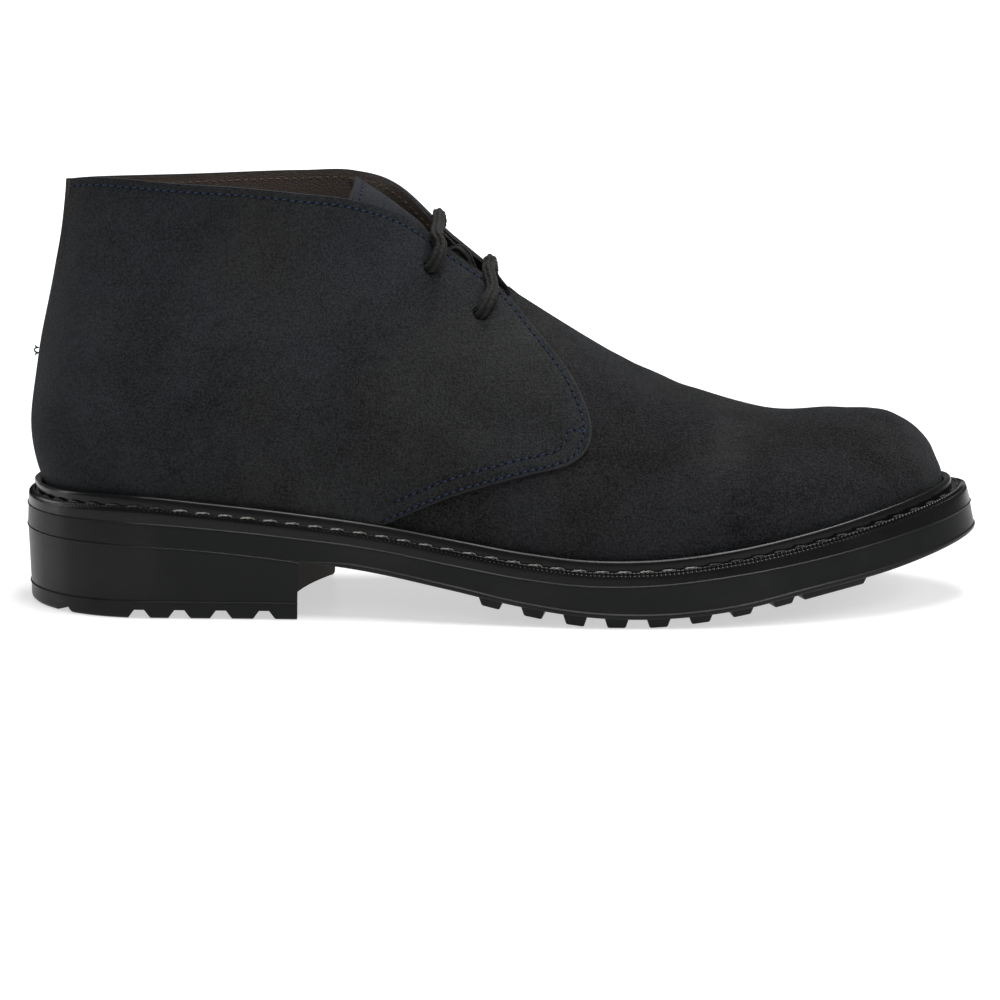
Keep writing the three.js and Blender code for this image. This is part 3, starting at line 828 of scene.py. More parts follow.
quarter_suede = suede("quarter_suede", grey(27.5, 28, 28.5), grey(26.5, 28, 30.5), 0.5, 1.2)
# The vamp's suede is coloured darker than the quarters': painted shade, to offset the overhead lamp
# on the up-facing vamp.
vamp_suede = suede("vamp_suede", grey(22, 22, 22.5), grey(21.5, 22, 23.5), 0.9, 1.75, 1.05)
tongue_suede = suede("tongue_suede", grey(25.5, 26.5, 28), grey(25, 26.5, 29), 0.3, 1.2)
# Lighter suede on the cut edges: partly the raw edge's own tone, partly a painted highlight where
# the edge catches the light.
cut_edge_and_highlight = suede("cut_edge_and_highlight", grey(34, 34.5, 36), grey(33, 34.5, 37), 0.3, 0.6, 1.4)
needle_shadow = suede("needle_shadow", grey(7, 7, 8), grey(7, 7, 8), 0.2, 0.3)

lining_leather = leather("lining_leather", grey(60, 53, 48), grey(76, 67, 60), 0.08)
raw_leather = leather("raw_leather", grey(24, 20, 18), grey(32, 27, 24), 0.15, 0.1)
sock_leather = leather("sock_leather", grey(64, 48, 38), grey(84, 64, 50), 0.12)

welt_rubber = rubber("welt_rubber", grey(9.5, 10, 10), 0.2, 0.2, 0.02, 0.18)
sole_rubber = rubber("sole_rubber", grey(13, 14, 14), 0.3, 0.4, 0.03, 0.12)
breast_rubber = rubber("breast_rubber", grey(74, 72, 69), 0.8, 0.4, 0.03, 0.0)

lace_braid = yarn("lace_braid", grey(25, 24.5, 23), grey(4, 4, 4), 6.0, 0.0, 0.1)
seam_thread = yarn("seam_thread", grey(36, 54, 86), grey(10, 14, 26), 1.0, 2.0, 0.08)
lining_thread = yarn("lining_thread", grey(104, 88, 70), grey(26, 22, 19), 1.0, 2.0, 0.08)
# One welt thread in two copies: a paler one, a painted highlight, where light falls along the waist,
# and a darker one, painted shade, round the toe and the heel.
lit_welt_thread = yarn("lit_welt_thread", grey(128, 126, 122), grey(30, 30, 30), 1.0, 1.0, 0.16)
shaded_welt_thread = yarn("shaded_welt_thread", grey(52, 52, 51), grey(12, 12, 12), 1.0, 1.0, 0.16)


# ------------------------------------------------------------------ The vamp
def vamp():
    """One panel over the toe, from side to side. It runs on under the quarters, skived there."""
    skived_to, on_top = 0.2, 0.08

    def lie(u, v):
        reach = quarter_front(v) + 0.034 - 0.046 * ease((v - 0.72) / 0.28)
        turn = (1 - 2 * u) * reach
        behind = behind_front(turn, v)
        under = np.minimum(proud(np.maximum(behind, 0)) - SUEDE - on_top, 0)
        pressed = -0.16 * hump(behind, 2.2)
        out = np.where(behind > 0, under, pressed)
        return turn, out + (slack(turn, v) + instep_fold(turn, v)) * ease(-behind / 12)

    laid = {}

    def place(u, v):
        turn, laid["out"] = lie(u, v)
        return off_upper(turn, v, laid["out"])

    obj = laid_grid("vamp", 260, 64, place)
    weights = np.clip((VAMP_SUEDE + np.minimum(laid["out"], 0)) / VAMP_SUEDE, skived_to, 1)
    group = obj.vertex_groups.new(name="skived")
    for index, weight in enumerate(weights):
        group.add([index], float(weight), "REPLACE")
    in_edit_mode(obj, merge)
    give_wall(obj, VAMP_SUEDE, vamp_suede, cut_edge_and_highlight, vertex_group="skived")
    shade(obj, PANEL_ANGLE)
    return settle(obj, None, "suede", "upper")


# ------------------------------------------------------------------ The quarters
def hole_punch(side, share, up, radius):
    """A pin that stands through the upper at an eyelet."""
    point = on_upper(side * share, up, cut=False)
    normal = upper_normal(np.array([side * share]), np.array([up]), cut=False)[0]
    bpy.ops.object.select_all(action="DESELECT")
    bpy.ops.mesh.primitive_cylinder_add(vertices=28, radius=radius * MM, depth=14 * MM)
    punch = bpy.context.active_object
    turned = Vector(normal).to_track_quat("Z", "Y").to_matrix().to_4x4()
    punch.data.transform(Matrix.Translation(Vector(point * MM)) @ turned)
    return punch


def quarter_out(turn, up, side):
    """How far the quarter's outer face stands off the upper's surface."""
    behind = np.maximum(behind_front(turn, up), 0)
    points = on_upper(turn, up)
    sewn = SEWN_PRESS[0] * hump(nearest(points, ROW_LINES[side]), SEWN_PRESS[1])
    laced = EYELET_PRESS[0] * hump(nearest(points, EYELET_POINTS[side]), EYELET_PRESS[1])
    rolled = 0.6 * hump(np.abs(points[:, 1] - upper["topSwing"](1.0)), 1.3) * (np.abs(turn) > 0.9)
    return proud(behind) + slack(turn, up) - sewn - laced - rolled


def quarter(name, side):
    """One side's panel. Its last few columns are narrow: they are its cut front edge, in the lighter
    cut-edge colour, which is partly a painted highlight.
    """
    back, columns_across, edge_columns, edge_share = 0.9996, 220, 3, 0.0045
    body = 1 - edge_columns / columns_across
    rolled_in = 0.3
    cells = {}

    def place(u, v):
        up = front_up(v)
        forward = u if side > 0 else 1 - u
        cells["forward"] = forward
        over = np.clip((forward - body) / (1 - body), 0, 1)
        spread = np.minimum(forward / body, 1) * (1 - edge_share) + edge_share * over
        turn = side * (back + (quarter_front(up) - back) * spread)
        return off_upper(turn, up, quarter_out(turn, up, side) - rolled_in * over**2)

    obj = laid_grid(name, columns_across, 150, place)
    # The narrow edge columns take the lighter cut-edge colour, partly a painted highlight along the
    # front edge.
    corners = np.empty(len(obj.data.loops), int)
    obj.data.loops.foreach_get("vertex_index", corners)
    at_edge = cells["forward"][corners.reshape(-1, 4)].min(1) > body + 1e-4
    obj.data.polygons.foreach_set("material_index", at_edge.astype(int))
    give_wall(obj, SUEDE, quarter_suede, cut_edge_and_highlight, use_even_offset=True)
    for share, up in EYELETS.values():
        cut(obj, hole_punch(side, share, up, EYELET_RADIUS["suede"]))
    shade(obj, PANEL_ANGLE)
    return settle(obj, None, "suede")


# ------------------------------------------------------------------ The lining
def lining():
    """One sheet all round inside. It stops just short of the top, and lower at the throat."""
    short, short_at_throat = 0.001, 0.045

    def place(u, v):
        turn = 1 - 2 * u
        parted = np.abs(turn) - THROAT_SHARE
        opened = ease(parted / 0.008) * (1 - ease((parted - 0.03) / 0.02))
        low = short * ease(parted / 0.04) + short_at_throat * opened
        return off_upper(turn, v * (1 - low), -LINING_DEPTH)

    obj = laid_grid("lining", 320, 56, place)
    in_edit_mode(obj, merge)
    give_wall(obj, LINING, lining_leather, raw_leather)
    for side in (1, -1):
        for share, up in EYELETS.values():
            cut(obj, hole_punch(side, share, up, EYELET_RADIUS["lining"]))
    shade(obj, PANEL_ANGLE)
    return settle(obj, None, "insole_leather")


# ------------------------------------------------------------------ The tongue
def on_tongue(across, along):
    """A point of the tongue's outer face: across from -1 to 1, along in its table's rows."""
    turned = np.radians(TONGUE_ARCH) * across
    fall = tongue_form["drop"](along) * (1 - np.cos(turned))
    y = tongue_form["swing"](along) + tongue_form["half"](along) * np.sin(turned)
    x = tongue_form["at"](along) - 0.3 * fall - SOLE_LENGTH / 2
    return np.stack([x, y, tongue_form["height"](along) - fall], -1)


def off_tongue(across, along, out):
    step = 1e-3
    low, high = np.maximum(along - step, 0), np.minimum(along + step, TONGUE_END)
    over = on_tongue(across + step, along) - on_tongue(across - step, along)
    normal = unit(np.cross(over, on_tongue(across, high) - on_tongue(across, low)))
    return on_tongue(across, along) + normal * np.broadcast_to(out, normal.shape[:-1])[..., None]


def tongue():
    """A suede flap over a leather one."""

    def layer(name, depth, wall, face, rim):
        place = lambda u, v: off_tongue(2 * u - 1, TONGUE_END * v, -depth)
        obj = laid_grid(name, 60, 110, place)
        give_wall(obj, wall, face, rim, use_even_offset=True)
        shade(obj, PANEL_ANGLE)
        return obj

    outer = layer("tongue_flap", 0, TONGUE_SUEDE, tongue_suede, cut_edge_and_highlight)
    settle(outer, None, "tongue_suede", "tongue")
    inner = layer("tongue_lining", TONGUE_SUEDE + 0.04, TONGUE_LINING, lining_leather, raw_leather)
    settle(inner, None, "insole_leather")


# ------------------------------------------------------------------ Stitches
def stitch_form(length, width, height):
    """One stitch: a plump grain of thread lying along X, its ends drawn down."""
    bpy.ops.object.select_all(action="DESELECT")
    bpy.ops.mesh.primitive_uv_sphere_add(segments=6, ring_count=6, radius=0.5)
    form = bpy.context.active_object
    form.data.transform(Matrix.Rotation(math.pi / 2, 4, "Y"))
    points = points_of(form)
    points[:, 2] -= 0.9 * points[:, 0] ** 2
    put_points(form, points * np.array([length, width, height]) * MM)
    return form


def ply_form(length, width, height):
    """One stitch of two plies laid round each other, its ends drawn down."""
    t = np.linspace(-0.5, 0.5, 25)
    made = []
    for start in (0, math.pi):
        wound = 2 * math.pi * 1.3 * t + start
        sunk = 1.2 * (2 * t) ** 6 + 0.1
        line = [t * length, 0.22 * width * np.cos(wound), height * (0.3 * np.sin(wound) - sunk)]
        made.append(tube("ply", np.stack(line, -1), 0.27 * width, 5, 12))
    return joined("stitch", made)


def sew(name, points, normals, kind, material, slot, slant=0.0, form=stitch_form, first=0.5):
    """A row of stitches along a path, as one piece. The first lies that share of a pitch in."""
    reach = 0.4
    form = form(kind["length"], kind["width"], kind["height"])
    along = lengths(points)
    count = int(along[-1] / kind["pitch"])
    spots = (np.arange(count) + first) * along[-1] / count
    made = []
    for spot in spots:
        here = sampled(spot, along, points)
        up = unit(sampled(spot, along, normals))
        x = unit(sampled(spot + reach, along, points) - sampled(spot - reach, along, points))
        x = unit(x - up * (x @ up))
        y = np.cross(up, x)
        x, y = x * math.cos(slant) + y * math.sin(slant), y * math.cos(slant) - x * math.sin(slant)
        turned = Matrix([[*row] for row in np.stack([x, y, up], -1)]).to_4x4()
        copy = form.copy()
        copy.data = form.data.copy()
        copy.data.transform(Matrix.Translation(Vector(here * MM)) @ turned)
        bpy.context.scene.collection.objects.link(copy)
        made.append(copy)
    bpy.data.objects.remove(form)
    obj = joined(name, made)
    shade(obj)
    return settle(obj, material, slot)


def sew_on_upper(name, row, side, out, kind, material, slot, slant, first=0.5):
    """A row on a quarter's face; or inside, where out says how far off the upper's own."""
    lift = 0.16
    shares, ups = row
    spread = np.linspace(0, len(shares) - 1, 900)
    index = np.arange(len(shares))
    turn, up = side * np.interp(spread, index, shares), np.interp(spread, index, ups)
    faced = upper_normal(turn, up) * (1 if out is None else -1)
    off = quarter_out(turn, up, side) + lift if out is None else out
    sew(name, off_upper(turn, up, off), faced, kind, material, slot, slant * side, first=first)


def seam_rows():
    """Each side's rows: round the free edge, along the lower edge, the tack that locks the
    front corner, and the lining's own round the collar. Between two stitches lies a dark
    disc of painted shade that stands for the needle hole."""
    slant = 0.14
    thread = (SEAM_STITCH, seam_thread, "suede", slant)
    # dark discs of painted shade for the needle holes
    hole = (NEEDLE_HOLE_SHADE, needle_shadow, "suede", slant)
    brown = (SEAM_STITCH, lining_thread, "insole_leather", -slant)
    tack = np.linspace(0.438, 0.48, 20)
    collar = tuple(part[ROW_ONE[1] > 0.93] for part in ROW_ONE)
    depth = -(LINING_DEPTH + LINING + 0.08)
    for side, word in SIDES:
        sew_on_upper(f"edge_stitches_{word}", ROW_ONE, side, None, *thread)
        sew_on_upper(f"seam_stitches_{word}", ROW_TWO, side, None, *thread)
        sew_on_upper(f"edge_hole_shades_{word}", ROW_ONE, side, None, *hole, 0.0)
        sew_on_upper(f"seam_hole_shades_{word}", ROW_TWO, side, None, *hole, 0.0)
        sew_on_upper(f"back_tack_{word}", (np.full_like(tack, 0.4458), tack), side, None, *thread)
        sew_on_upper(f"lining_stitches_{word}", collar, side, depth, *brown)


def tongue_row():
    """A row across the tongue, just short of its tip."""
    across = np.linspace(-0.9, 0.9, 300)
    along = np.full_like(across, 7.68)
    points = off_tongue(across, along, 0.12)
    normals = unit(off_tongue(across, along, 1.0) - off_tongue(across, along, 0.0))
    sew("tongue_stitches", points, normals, SEAM_STITCH, seam_thread, "tongue_suede", 0.1)
    # dark discs of painted shade for the needle holes
    hole = (NEEDLE_HOLE_SHADE, needle_shadow, "tongue_suede")
    sew("tongue_hole_shades", points, normals, *hole, first=0.0)


# ------------------------------------------------------------------ The insole
def section_solid(name, stations, steps=180):
    """A plate with the sole's outline. Each station round its section is an inset, a height
    and how far across from the outer side (0) to the inner (1) it lies."""
    loop = [*stations, stations[0]]

    def place(u, v):
        station = np.round(v * (len(loop) - 1)).astype(int)
        points = np.empty((len(u), 3))
        for k, (inset, height, across) in enumerate(loop):
            here = station == k
            outer, inner = (outline_point(s * u[here], inset, height) for s in (1, -1))
            points[here] = blend(outer, inner, np.full(here.sum(), across))
        return points

    obj = laid_grid(name, steps, len(loop) - 1, place)
    in_edit_mode(obj, merge, lambda: bpy.ops.mesh.dissolve_degenerate(threshold=1e-7), face_out)
    return obj


def round_section(side_levels, inner_points=9):
    """Stations for a plate from its side's levels, listed from the bottom up."""
    crossing = np.linspace(0, 1, inner_points)[1:-1]
    bottom, top = side_levels[0], side_levels[-1]
    outer = [(inset, height, 0.0) for inset, height in side_levels]
    over = [(*top, c) for c in crossing]
    inner = [(inset, height, 1.0) for inset, height in reversed(side_levels)]
    under = [(*bottom, c) for c in crossing[::-1]]
    return outer + over + inner + under


def insole():
    rim = lambda at: sole["ledge"](at) + WALL + 0.5
    face = lambda at: sole["weltTop"](at) + INSOLE_THICKNESS
    levels = [
        (rim, lambda at: face(at) - 2.6),
        (rim, lambda at: face(at) - 0.5),
        (lambda at: rim(at) + 0.4, lambda at: face(at) - 0.05),
    ]
    obj = section_solid("sock_insole", round_section(levels, 15))
    shade(obj, 50)
    return settle(obj, sock_leather, "insole_leather", "insole")


# ------------------------------------------------------------------ The welt
def even_turns(count):
    """Turns that lie the same distance apart along the sole's edge, once round."""
    fine = np.linspace(-1, 1, 6001)
    along = lengths(edge_point(fine))
    return np.interp(np.linspace(0, along[-1], count + 1), along, fine), along[-1]


def welt_stations():
    """The welt's section: how far out from the upper's foot and how high, each with how much
    of the ledge's own width it takes and how strongly the wheel's ribs show there."""
    width, height = BEAD
    bead = [(0.0, 0.5), (0.06, 0.74), (0.2, 0.92), (0.42, 1.0)]
    bead += [(0.64, 0.97), (0.82, 0.82), (0.94, 0.6)]
    rows = [("flange", -WELT_FLANGE, 0.0, 0.0), ("top", CLEARANCE, 0.0, 0.0)]
    rows += [("bead", a * width, b * height, 0.0) for a, b in bead]
    rows += [("bead", width, 0.0, 0.0)]
    ledge = [
        (0.02, -0.7, 0.0),
        (0.14, -0.8, 0.0),
        (0.24, -0.6, 0.0),
        (0.32, -0.2, 0.0),
        (0.46, -0.22, 0.0),
        (0.54, -0.26, 0.2),
        (0.6, -0.28, 1.0),
        (0.74, -0.42, 1.0),
        (0.88, -0.58, 1.0),
        (0.98, -0.72, 1.0),
    ]
    return rows + [("ledge", share, up, ribs) for share, up, ribs in ledge]


def welt():
    """One ring, whose section is laid at close steps round the sole. Its ribs run across."""
    _, around = even_turns(10)
    steps = STEPS_PER_RIB * int(around / WHEEL_PITCH)
    turns, _ = even_turns(steps)
    turns[-1] = turns[0]
    stations = welt_stations()
    side_drop = [0.06, 0.14, 0.3, 0.55, 0.8, 0.94, 1.0]
    count = len(stations) + len(side_drop) + 1
    base_z = lambda where: sole["weltBase"](where) + CLEARANCE / 2

    def place(u, v):
        index = np.round(u * steps).astype(int)
        turn = turns[index]
        row = np.round(v * count).astype(int) % count
        share = np.abs(turn)
        at = to_at(edge_point(turn)[..., 0])
        ledge = sole["ledge"](at)
        edge = ledge - sole["flare"](at)
        foot = ledge - FLARE_AT_SEAM * sole["flare"](at)
        lean = np.maximum(0, upper["lean"](share) / upper["rise"](share))
        start = CLEARANCE + BEAD[0]
        phase = np.cos(2 * np.pi * index / STEPS_PER_RIB)
        points = np.empty((len(u), 3))
        for k in range(count):
            here = row == k
            if k < len(stations):
                kind, out, up, rib_share = stations[k]
                up = np.full(here.sum(), up)
                if kind == "bead":
                    out = CLEARANCE + out + lean[here] * up
                elif kind == "ledge":
                    up = up + RIB_DEPTH * rib_share * (phase[here] - 1) / 2
                    out = start + out * (edge[here] - start)
                else:
                    out = np.full(here.sum(), out)
                inset = ledge[here] - out
                points[here] = outline_point(turn[here], inset, sole["weltTop"])
                points[here, 2] += up
            elif k < count - 1:
                fall = side_drop[k - len(stations)]
                tuck = 0.25 * hump(fall, 0.08)
                notched = 0.6 * RIB_DEPTH * hump(fall, 0.12) * (1 - phase[here]) / 2
                out = edge[here] + (foot - edge)[here] * fall - tuck - notched
                point = outline_point(turn[here], ledge[here] - out, sole["weltTop"])
                point[:, 2] -= LEDGE_FALL
                low = base_z(to_at(point[:, 0]))
                point[:, 2] += (low - point[:, 2]) * fall
                points[here] = point
            else:
                inset = ledge[here] + WELT_FLANGE
                points[here] = outline_point(turn[here], inset, base_z)
        return points

    obj = laid_grid("storm_welt", steps, count, place)
    in_edit_mode(obj, merge, face_out)
    shade(obj, 50)
    return settle(obj, welt_rubber, "welt_rubber", "welt")


def welt_row():
    """The welt's stitches, one thread in two copies: lit along the waist, a painted highlight, and
    shaded round the toe and the heel, painted shade.
    """
    turns, _ = even_turns(1400)
    at = to_at(edge_point(turns)[..., 0])
    start = CLEARANCE + BEAD[0]
    ledge = sole["ledge"](at)
    out = start + WELT_STITCH_LINE * (ledge - sole["flare"](at) - start)
    points = outline_point(turns, ledge - out, sole["weltTop"])
    upright = np.tile([0.0, 0.0, 1.0], (len(points), 1))
    normals = unit(upright + 0.35 * edge_outward(turns))
    waist = (at > 46) & (at < 216)
    parts = {
        "outer": (waist & (turns > 0), lit_welt_thread),
        "inner": (waist & (turns < 0), lit_welt_thread),
        "toe": (at >= 216, shaded_welt_thread),
        "heel": (at <= 46, shaded_welt_thread),
    }
    for word, (kept, thread) in parts.items():
        line, up = points[kept], normals[kept]
        if word == "heel":  # the turns meet at the back, so its two halves change places
            middle = np.argmax(turns[kept] > 0)
            line, up = (np.concatenate([part[middle:], part[:middle]]) for part in (line, up))
        stitches = (WELT_STITCH, thread, "braid")
        sew(f"welt_stitches_{word}", line, up, *stitches, form=ply_form)


# ------------------------------------------------------------------ The outsole
def side_levels(bottom, top, foot_insets, head_inset, steps=7, chamfer=0.75, rounded=None):
    """Levels up a plate's side: a rounded foot, an even rise and a fine lip at the top."""
    rounded = rounded or (lambda at: 1 + 0 * at)
    levels = [
        (lambda at, i=inset: i * rounded(at), lambda at, up=up: bottom(at) + up * rounded(at))
        for inset, up in foot_insets
    ]
    start = foot_insets[-1]
    for k in range(1, steps + 1):
        share = k / steps
        level = lambda at, s=share: (
            (bottom(at) + start[1] * rounded(at)) * (1 - s) + (top(at) - chamfer) * s
        )
        inset = lambda at, s=share: start[0] * rounded(at) * (1 - s) + head_inset(at) * s
        levels.append((inset, level))
    proud = lambda at: head_inset(at) - LIP
    levels += [(proud, lambda at, by=by: top(at) - by * chamfer) for by in (0.55, 0.4)]
    return [*levels, (head_inset, top)]


def laid_block(place, bevel):
    """A block whose corners place(a, b, c) lays out, each from -1 to 1, with eased edges."""
    bpy.ops.object.select_all(action="DESELECT")
    bpy.ops.mesh.primitive_cube_add(size=2)
    obj = bpy.context.active_object
    put_points(obj, np.array([place(*corner) for corner in np.round(points_of(obj))]) * MM)
    rounding = lambda: bpy.ops.mesh.bevel(offset=bevel * MM, segments=2, affect="EDGES")
    in_edit_mode(obj, *([rounding] if bevel else []), face_out)
    return obj


def lug_face(at):
    """How high the tread stands off the ground."""
    return np.maximum(0.0, sole["tread"](at))


def lug(corner, taper):
    """A lug from its corners in plan, drawn in towards the ground."""

    def place(a, b, c):
        point = np.array(corner(a * (taper if c < 0 else 1), b * (0.96 if c < 0 else 1)))
        at = to_at(point[0])
        point[2] = lug_face(at) if c < 0 else sole["soleBase"](at) + 1.2
        return point

    return laid_block(place, 0.5)


def edge_lug(turn, length, near, far, taper=0.66):
    """A lug that runs in from the sole's edge, from near to far millimetres."""
    tangent, outward, edge = edge_tangent(turn), edge_outward(turn), edge_point(turn)

    def corner(lengthwise, inward):
        inset = near + (far - near) * (inward + 1) / 2
        narrowing = 1 - 0.12 * (inward + 1)
        return edge - outward * inset + tangent * (0.5 * length * lengthwise * narrowing)

    return lug(corner, taper)


def diamond_lug(at, y, length, width):
    def corner(lengthwise, inward):
        along, aside = (lengthwise - inward) / 2, (lengthwise + inward) / 2
        return (at - SOLE_LENGTH / 2 + along * length, y + aside * width, 0)

    return lug(corner, 0.8)


def lugs():
    """Bars along both edges, diamonds between them, and wider lugs round the toe."""
    pitch, first, bars = 13.4, 148.0, 8
    near, far, aside = 1.8, 20, 8
    made = []
    for k in range(bars):
        turn = turn_at(first + k * pitch)
        made += [edge_lug(turn, 8.6, near, far), edge_lug(-turn, 8.6, near, far)]
        at = first + (k + 0.5) * pitch
        made.append(diamond_lug(at, sole["swing"](at) + (aside if k % 2 else -aside), 8.5, 9))
    side, tip = turn_at(258), turn_at(283)
    made += [edge_lug(turn, 24, near, far, 0.86) for turn in (side, -side)]
    made += [edge_lug(turn, 15, 10.5, 22, 0.86) for turn in (tip, 0.0, -tip)]
    return joined("lugs", made)


def outsole():
    """The plate, with its lugs grown onto it. Behind the breast it lies flat on the heel."""
    top = lambda at: sole["weltBase"](at) + 0.12
    rounded = lambda at: 0.04 + 0.96 * ease((at - 84) / 22)
    foot = [(1.3, 0.0), (0.6, 0.1), (0.15, 0.45), (0.0, 0.9), (0.0, 1.35), (0.0, 1.5), (0.4, 1.9)]
    head = lambda at: FLARE_AT_SEAM * sole["flare"](at)
    levels = side_levels(sole["soleBase"], top, foot, head, rounded=rounded)
    obj = section_solid("lug_outsole", round_section(levels, 13), 220)
    cut(obj, lugs(), "UNION")
    shade(obj, 40)
    return settle(obj, sole_rubber, "sole_rubber", "outsole")


# ------------------------------------------------------------------ The heel
def breast_tool():
    """All that lies behind the heel's breast, to keep of a plate."""

    def corner(at, side):
        return np.array([at - SOLE_LENGTH / 2, sole["swing"](at) + side * HEEL_HALF_WIDTH])

    outer, inner = corner(BREAST_LATERAL, LATERAL), corner(BREAST_MEDIAL, MEDIAL)
    middle = (outer + inner) / 2 - (2 * BREAST_HOLLOW, 0)

    def place(u, v):
        s = ((v - 0.1) / 0.8).clip(0, 1)[:, None]
        curve = outer * (1 - s) ** 2 + 2 * middle * s * (1 - s) + inner * s**2
        curve[:, 1] = np.where(v < 0.05, -150, np.where(v > 0.95, 150, curve[:, 1]))
        x = -180 * (1 - u) + curve[:, 0] * u
        return np.stack([x, curve[:, 1], np.full(len(u), -6.0)], -1)

    obj = laid_grid("breast", 1, 20, place)
    lift = {"value": (0, 0, 60 * MM)}
    in_edit_mode(obj, lambda: bpy.ops.mesh.extrude_region_move(TRANSFORM_OT_translate=lift))
    in_edit_mode(obj, face_out)
    return obj


def matt_breast(obj):
    """The heel's cut front face is left rough, not moulded."""
    obj.data.materials.append(breast_rubber)
    foremost = (BREAST_LATERAL - BREAST_HOLLOW - SOLE_LENGTH / 2) * MM
    for face in obj.data.polygons:
        if face.normal.x > 0.6 and face.center.x > foremost:
            face.material_index = 1
    return obj


def heel_block():
    """The stacked part of the heel."""
    foot = lambda at: 0 * at + HEEL_LIFT + CLEARANCE / 2
    top = lambda at: sole["soleBase"](at) - 0.04
    levels = side_levels(foot, top, [(1.1, 0.0), (1.0, 0.12)], lambda at: 0.12 + 0 * at, 6)
    obj = section_solid("heel_stack", round_section(levels, 5), 200)
    cut(obj, breast_tool(), "INTERSECT")
    shade(obj, 35)
    return matt_breast(settle(obj, sole_rubber, "sole_rubber", "heel_block"))


def heel_notch(turn, reach):
    """A tool for one notch in the tread's rim, wider at the ground, reach millimetres deep."""
    tangent, outward, edge = edge_tangent(turn), edge_outward(turn), edge_point(turn)

    def place(a, b, c):
        half, height = (4.4, -1.0) if c < 0 else (1.6, HEEL_NOTCH_DEPTH)
        inset = -4 if b < 0 else reach
        point = edge - outward * inset + tangent * (a * half)
        point[2] = height
        return point

    return laid_block(place, 0)


def heel_lift():
    """The heel's tread, notched round its rim."""
    ground = lambda at: 0 * at
    top = lambda at: 0 * at + HEEL_LIFT + 0.1
    foot = [(2.2, 0.0), (1.7, 0.2), (1.3, 0.6), (1.1, 1.2)]
    levels = side_levels(ground, top, foot, lambda at: 1.0 + 0 * at, 3)
    obj = section_solid("heel_tread", round_section(levels, 5), 200)
    cut(obj, breast_tool(), "INTERSECT")
    turns = [turn_at(at) for at in (11.5, 36.8, 49.6, 62.8, 76.5)]
    cut(obj, joined("notches", [heel_notch(s * turn, 15) for turn in turns for s in (1, -1)]))
    shade(obj, 35)
    return matt_breast(settle(obj, sole_rubber, "sole_rubber", "heel_lift"))


# ------------------------------------------------------------------ The lace
def lace_points():
    """The lace's line: a bar over the upper eyelets, a crossing, a bar over the lower ones."""
    clear = LACE_DIAMETER / 2 + CLEARANCE

    def off(turn, up, out):
        return off_upper(np.array([turn]), np.array([up]), out, cut=False)[0]

    def threaded(eyelet, side):
        share, up = EYELETS[eyelet]
        reach = np.linalg.norm(on_upper(share, up) - on_upper(share, 1.0)) / (1 - up)
        ahead = 0.0035 if eyelet == "lower" else 0.0
        steps = [
            (0, -WALL - clear - 1, 0),
            (0, -0.5 * WALL, 0),
            (0.3, 1.9, 0.2),
            (2.6, clear + 1.2, 0.6),
            (7.0, clear + 0.9, 1.0),
        ]
        return [
            off(-side * (share - ahead * by), up + along / reach, out) for along, out, by in steps
        ]

    def bar(eyelet):
        over = EYELETS[eyelet][0] + 0.002
        near, far = off(over, 1.0, clear - 0.6), off(-over, 1.0, clear + 0.1)
        middle = (near + far) / 2 - (0, 0, 0.4)
        return [*threaded(eyelet, LATERAL), near, middle, far, *threaded(eyelet, MEDIAL)[::-1]]

    crossing = [
        (131.5, 6.9, 108.6),
        (134.5, 4.5, 109.6),
        (138.5, 1.5, 111.4),
        (141.8, 1.8, 104.9),
        (144.2, -2.1, 98.8),
    ]
    crossing = [np.array([at - SOLE_LENGTH / 2, y, z]) for at, y, z in crossing]
    return np.array([*bar("upper"), *crossing, *bar("lower")])


def through(points, per_span=24):
    """A curve through points that doesn't loop or overshoot where they lie close together."""
    ends = [2 * points[0] - points[1], *points, 2 * points[-1] - points[-2]]
    made = []
    for p0, p1, p2, p3 in zip(ends, ends[1:], ends[2:], ends[3:]):
        spans = [np.linalg.norm(b - a) ** 0.5 for a, b in ((p0, p1), (p1, p2), (p2, p3))]
        knots = np.cumsum([0, *spans])
        for t in np.linspace(knots[1], knots[2], per_span, endpoint=False):

            def step(a, b, i, j):
                return (a * (knots[j] - t) + b * (t - knots[i])) / (knots[j] - knots[i])

            a1, a2, a3 = step(p0, p1, 0, 1), step(p1, p2, 1, 2), step(p2, p3, 2, 3)
            b1, b2 = step(a1, a2, 0, 2), step(a2, a3, 1, 3)
            made.append(step(b1, b2, 1, 2))
    return np.array([*made, points[-1]])


def tube(name, line, radius, sides, steps, relief=None):
    """A round tube along a line, closed at both ends. relief(round, along) varies its radius."""
    along = lengths(line)
    even = np.linspace(0, along[-1], steps + 1)
    centre = sampled(even, along, line)
    tangent = unit(np.gradient(centre, axis=0))
    side = unit(np.cross(tangent[0], [0.3, 0.2, 1.0]))
    sides_at = []
    for t in tangent:
        side = unit(side - t * (side @ t))
        sides_at.append(side)
    across = np.array(sides_at)
    over = np.cross(tangent, across)

    def place(u, v):
        k = np.round(v * steps).astype(int)
        angle = 2 * np.pi * u
        shape = 1 if relief is None else relief(angle, even[k])
        from_end = np.minimum(even[k], along[-1] - even[k])
        cap = np.sqrt(np.clip(1 - (1 - np.clip(from_end / radius, 0, 1)) ** 2, 0, 1))
        r = (radius * shape * cap)[:, None]
        round_it = np.cos(angle)[:, None] * across[k] + np.sin(angle)[:, None] * over[k]
        return centre[k] + r * round_it

    obj = laid_grid(name, sides, steps, place)
    in_edit_mode(obj, merge, face_out)
    shade(obj)
    return obj


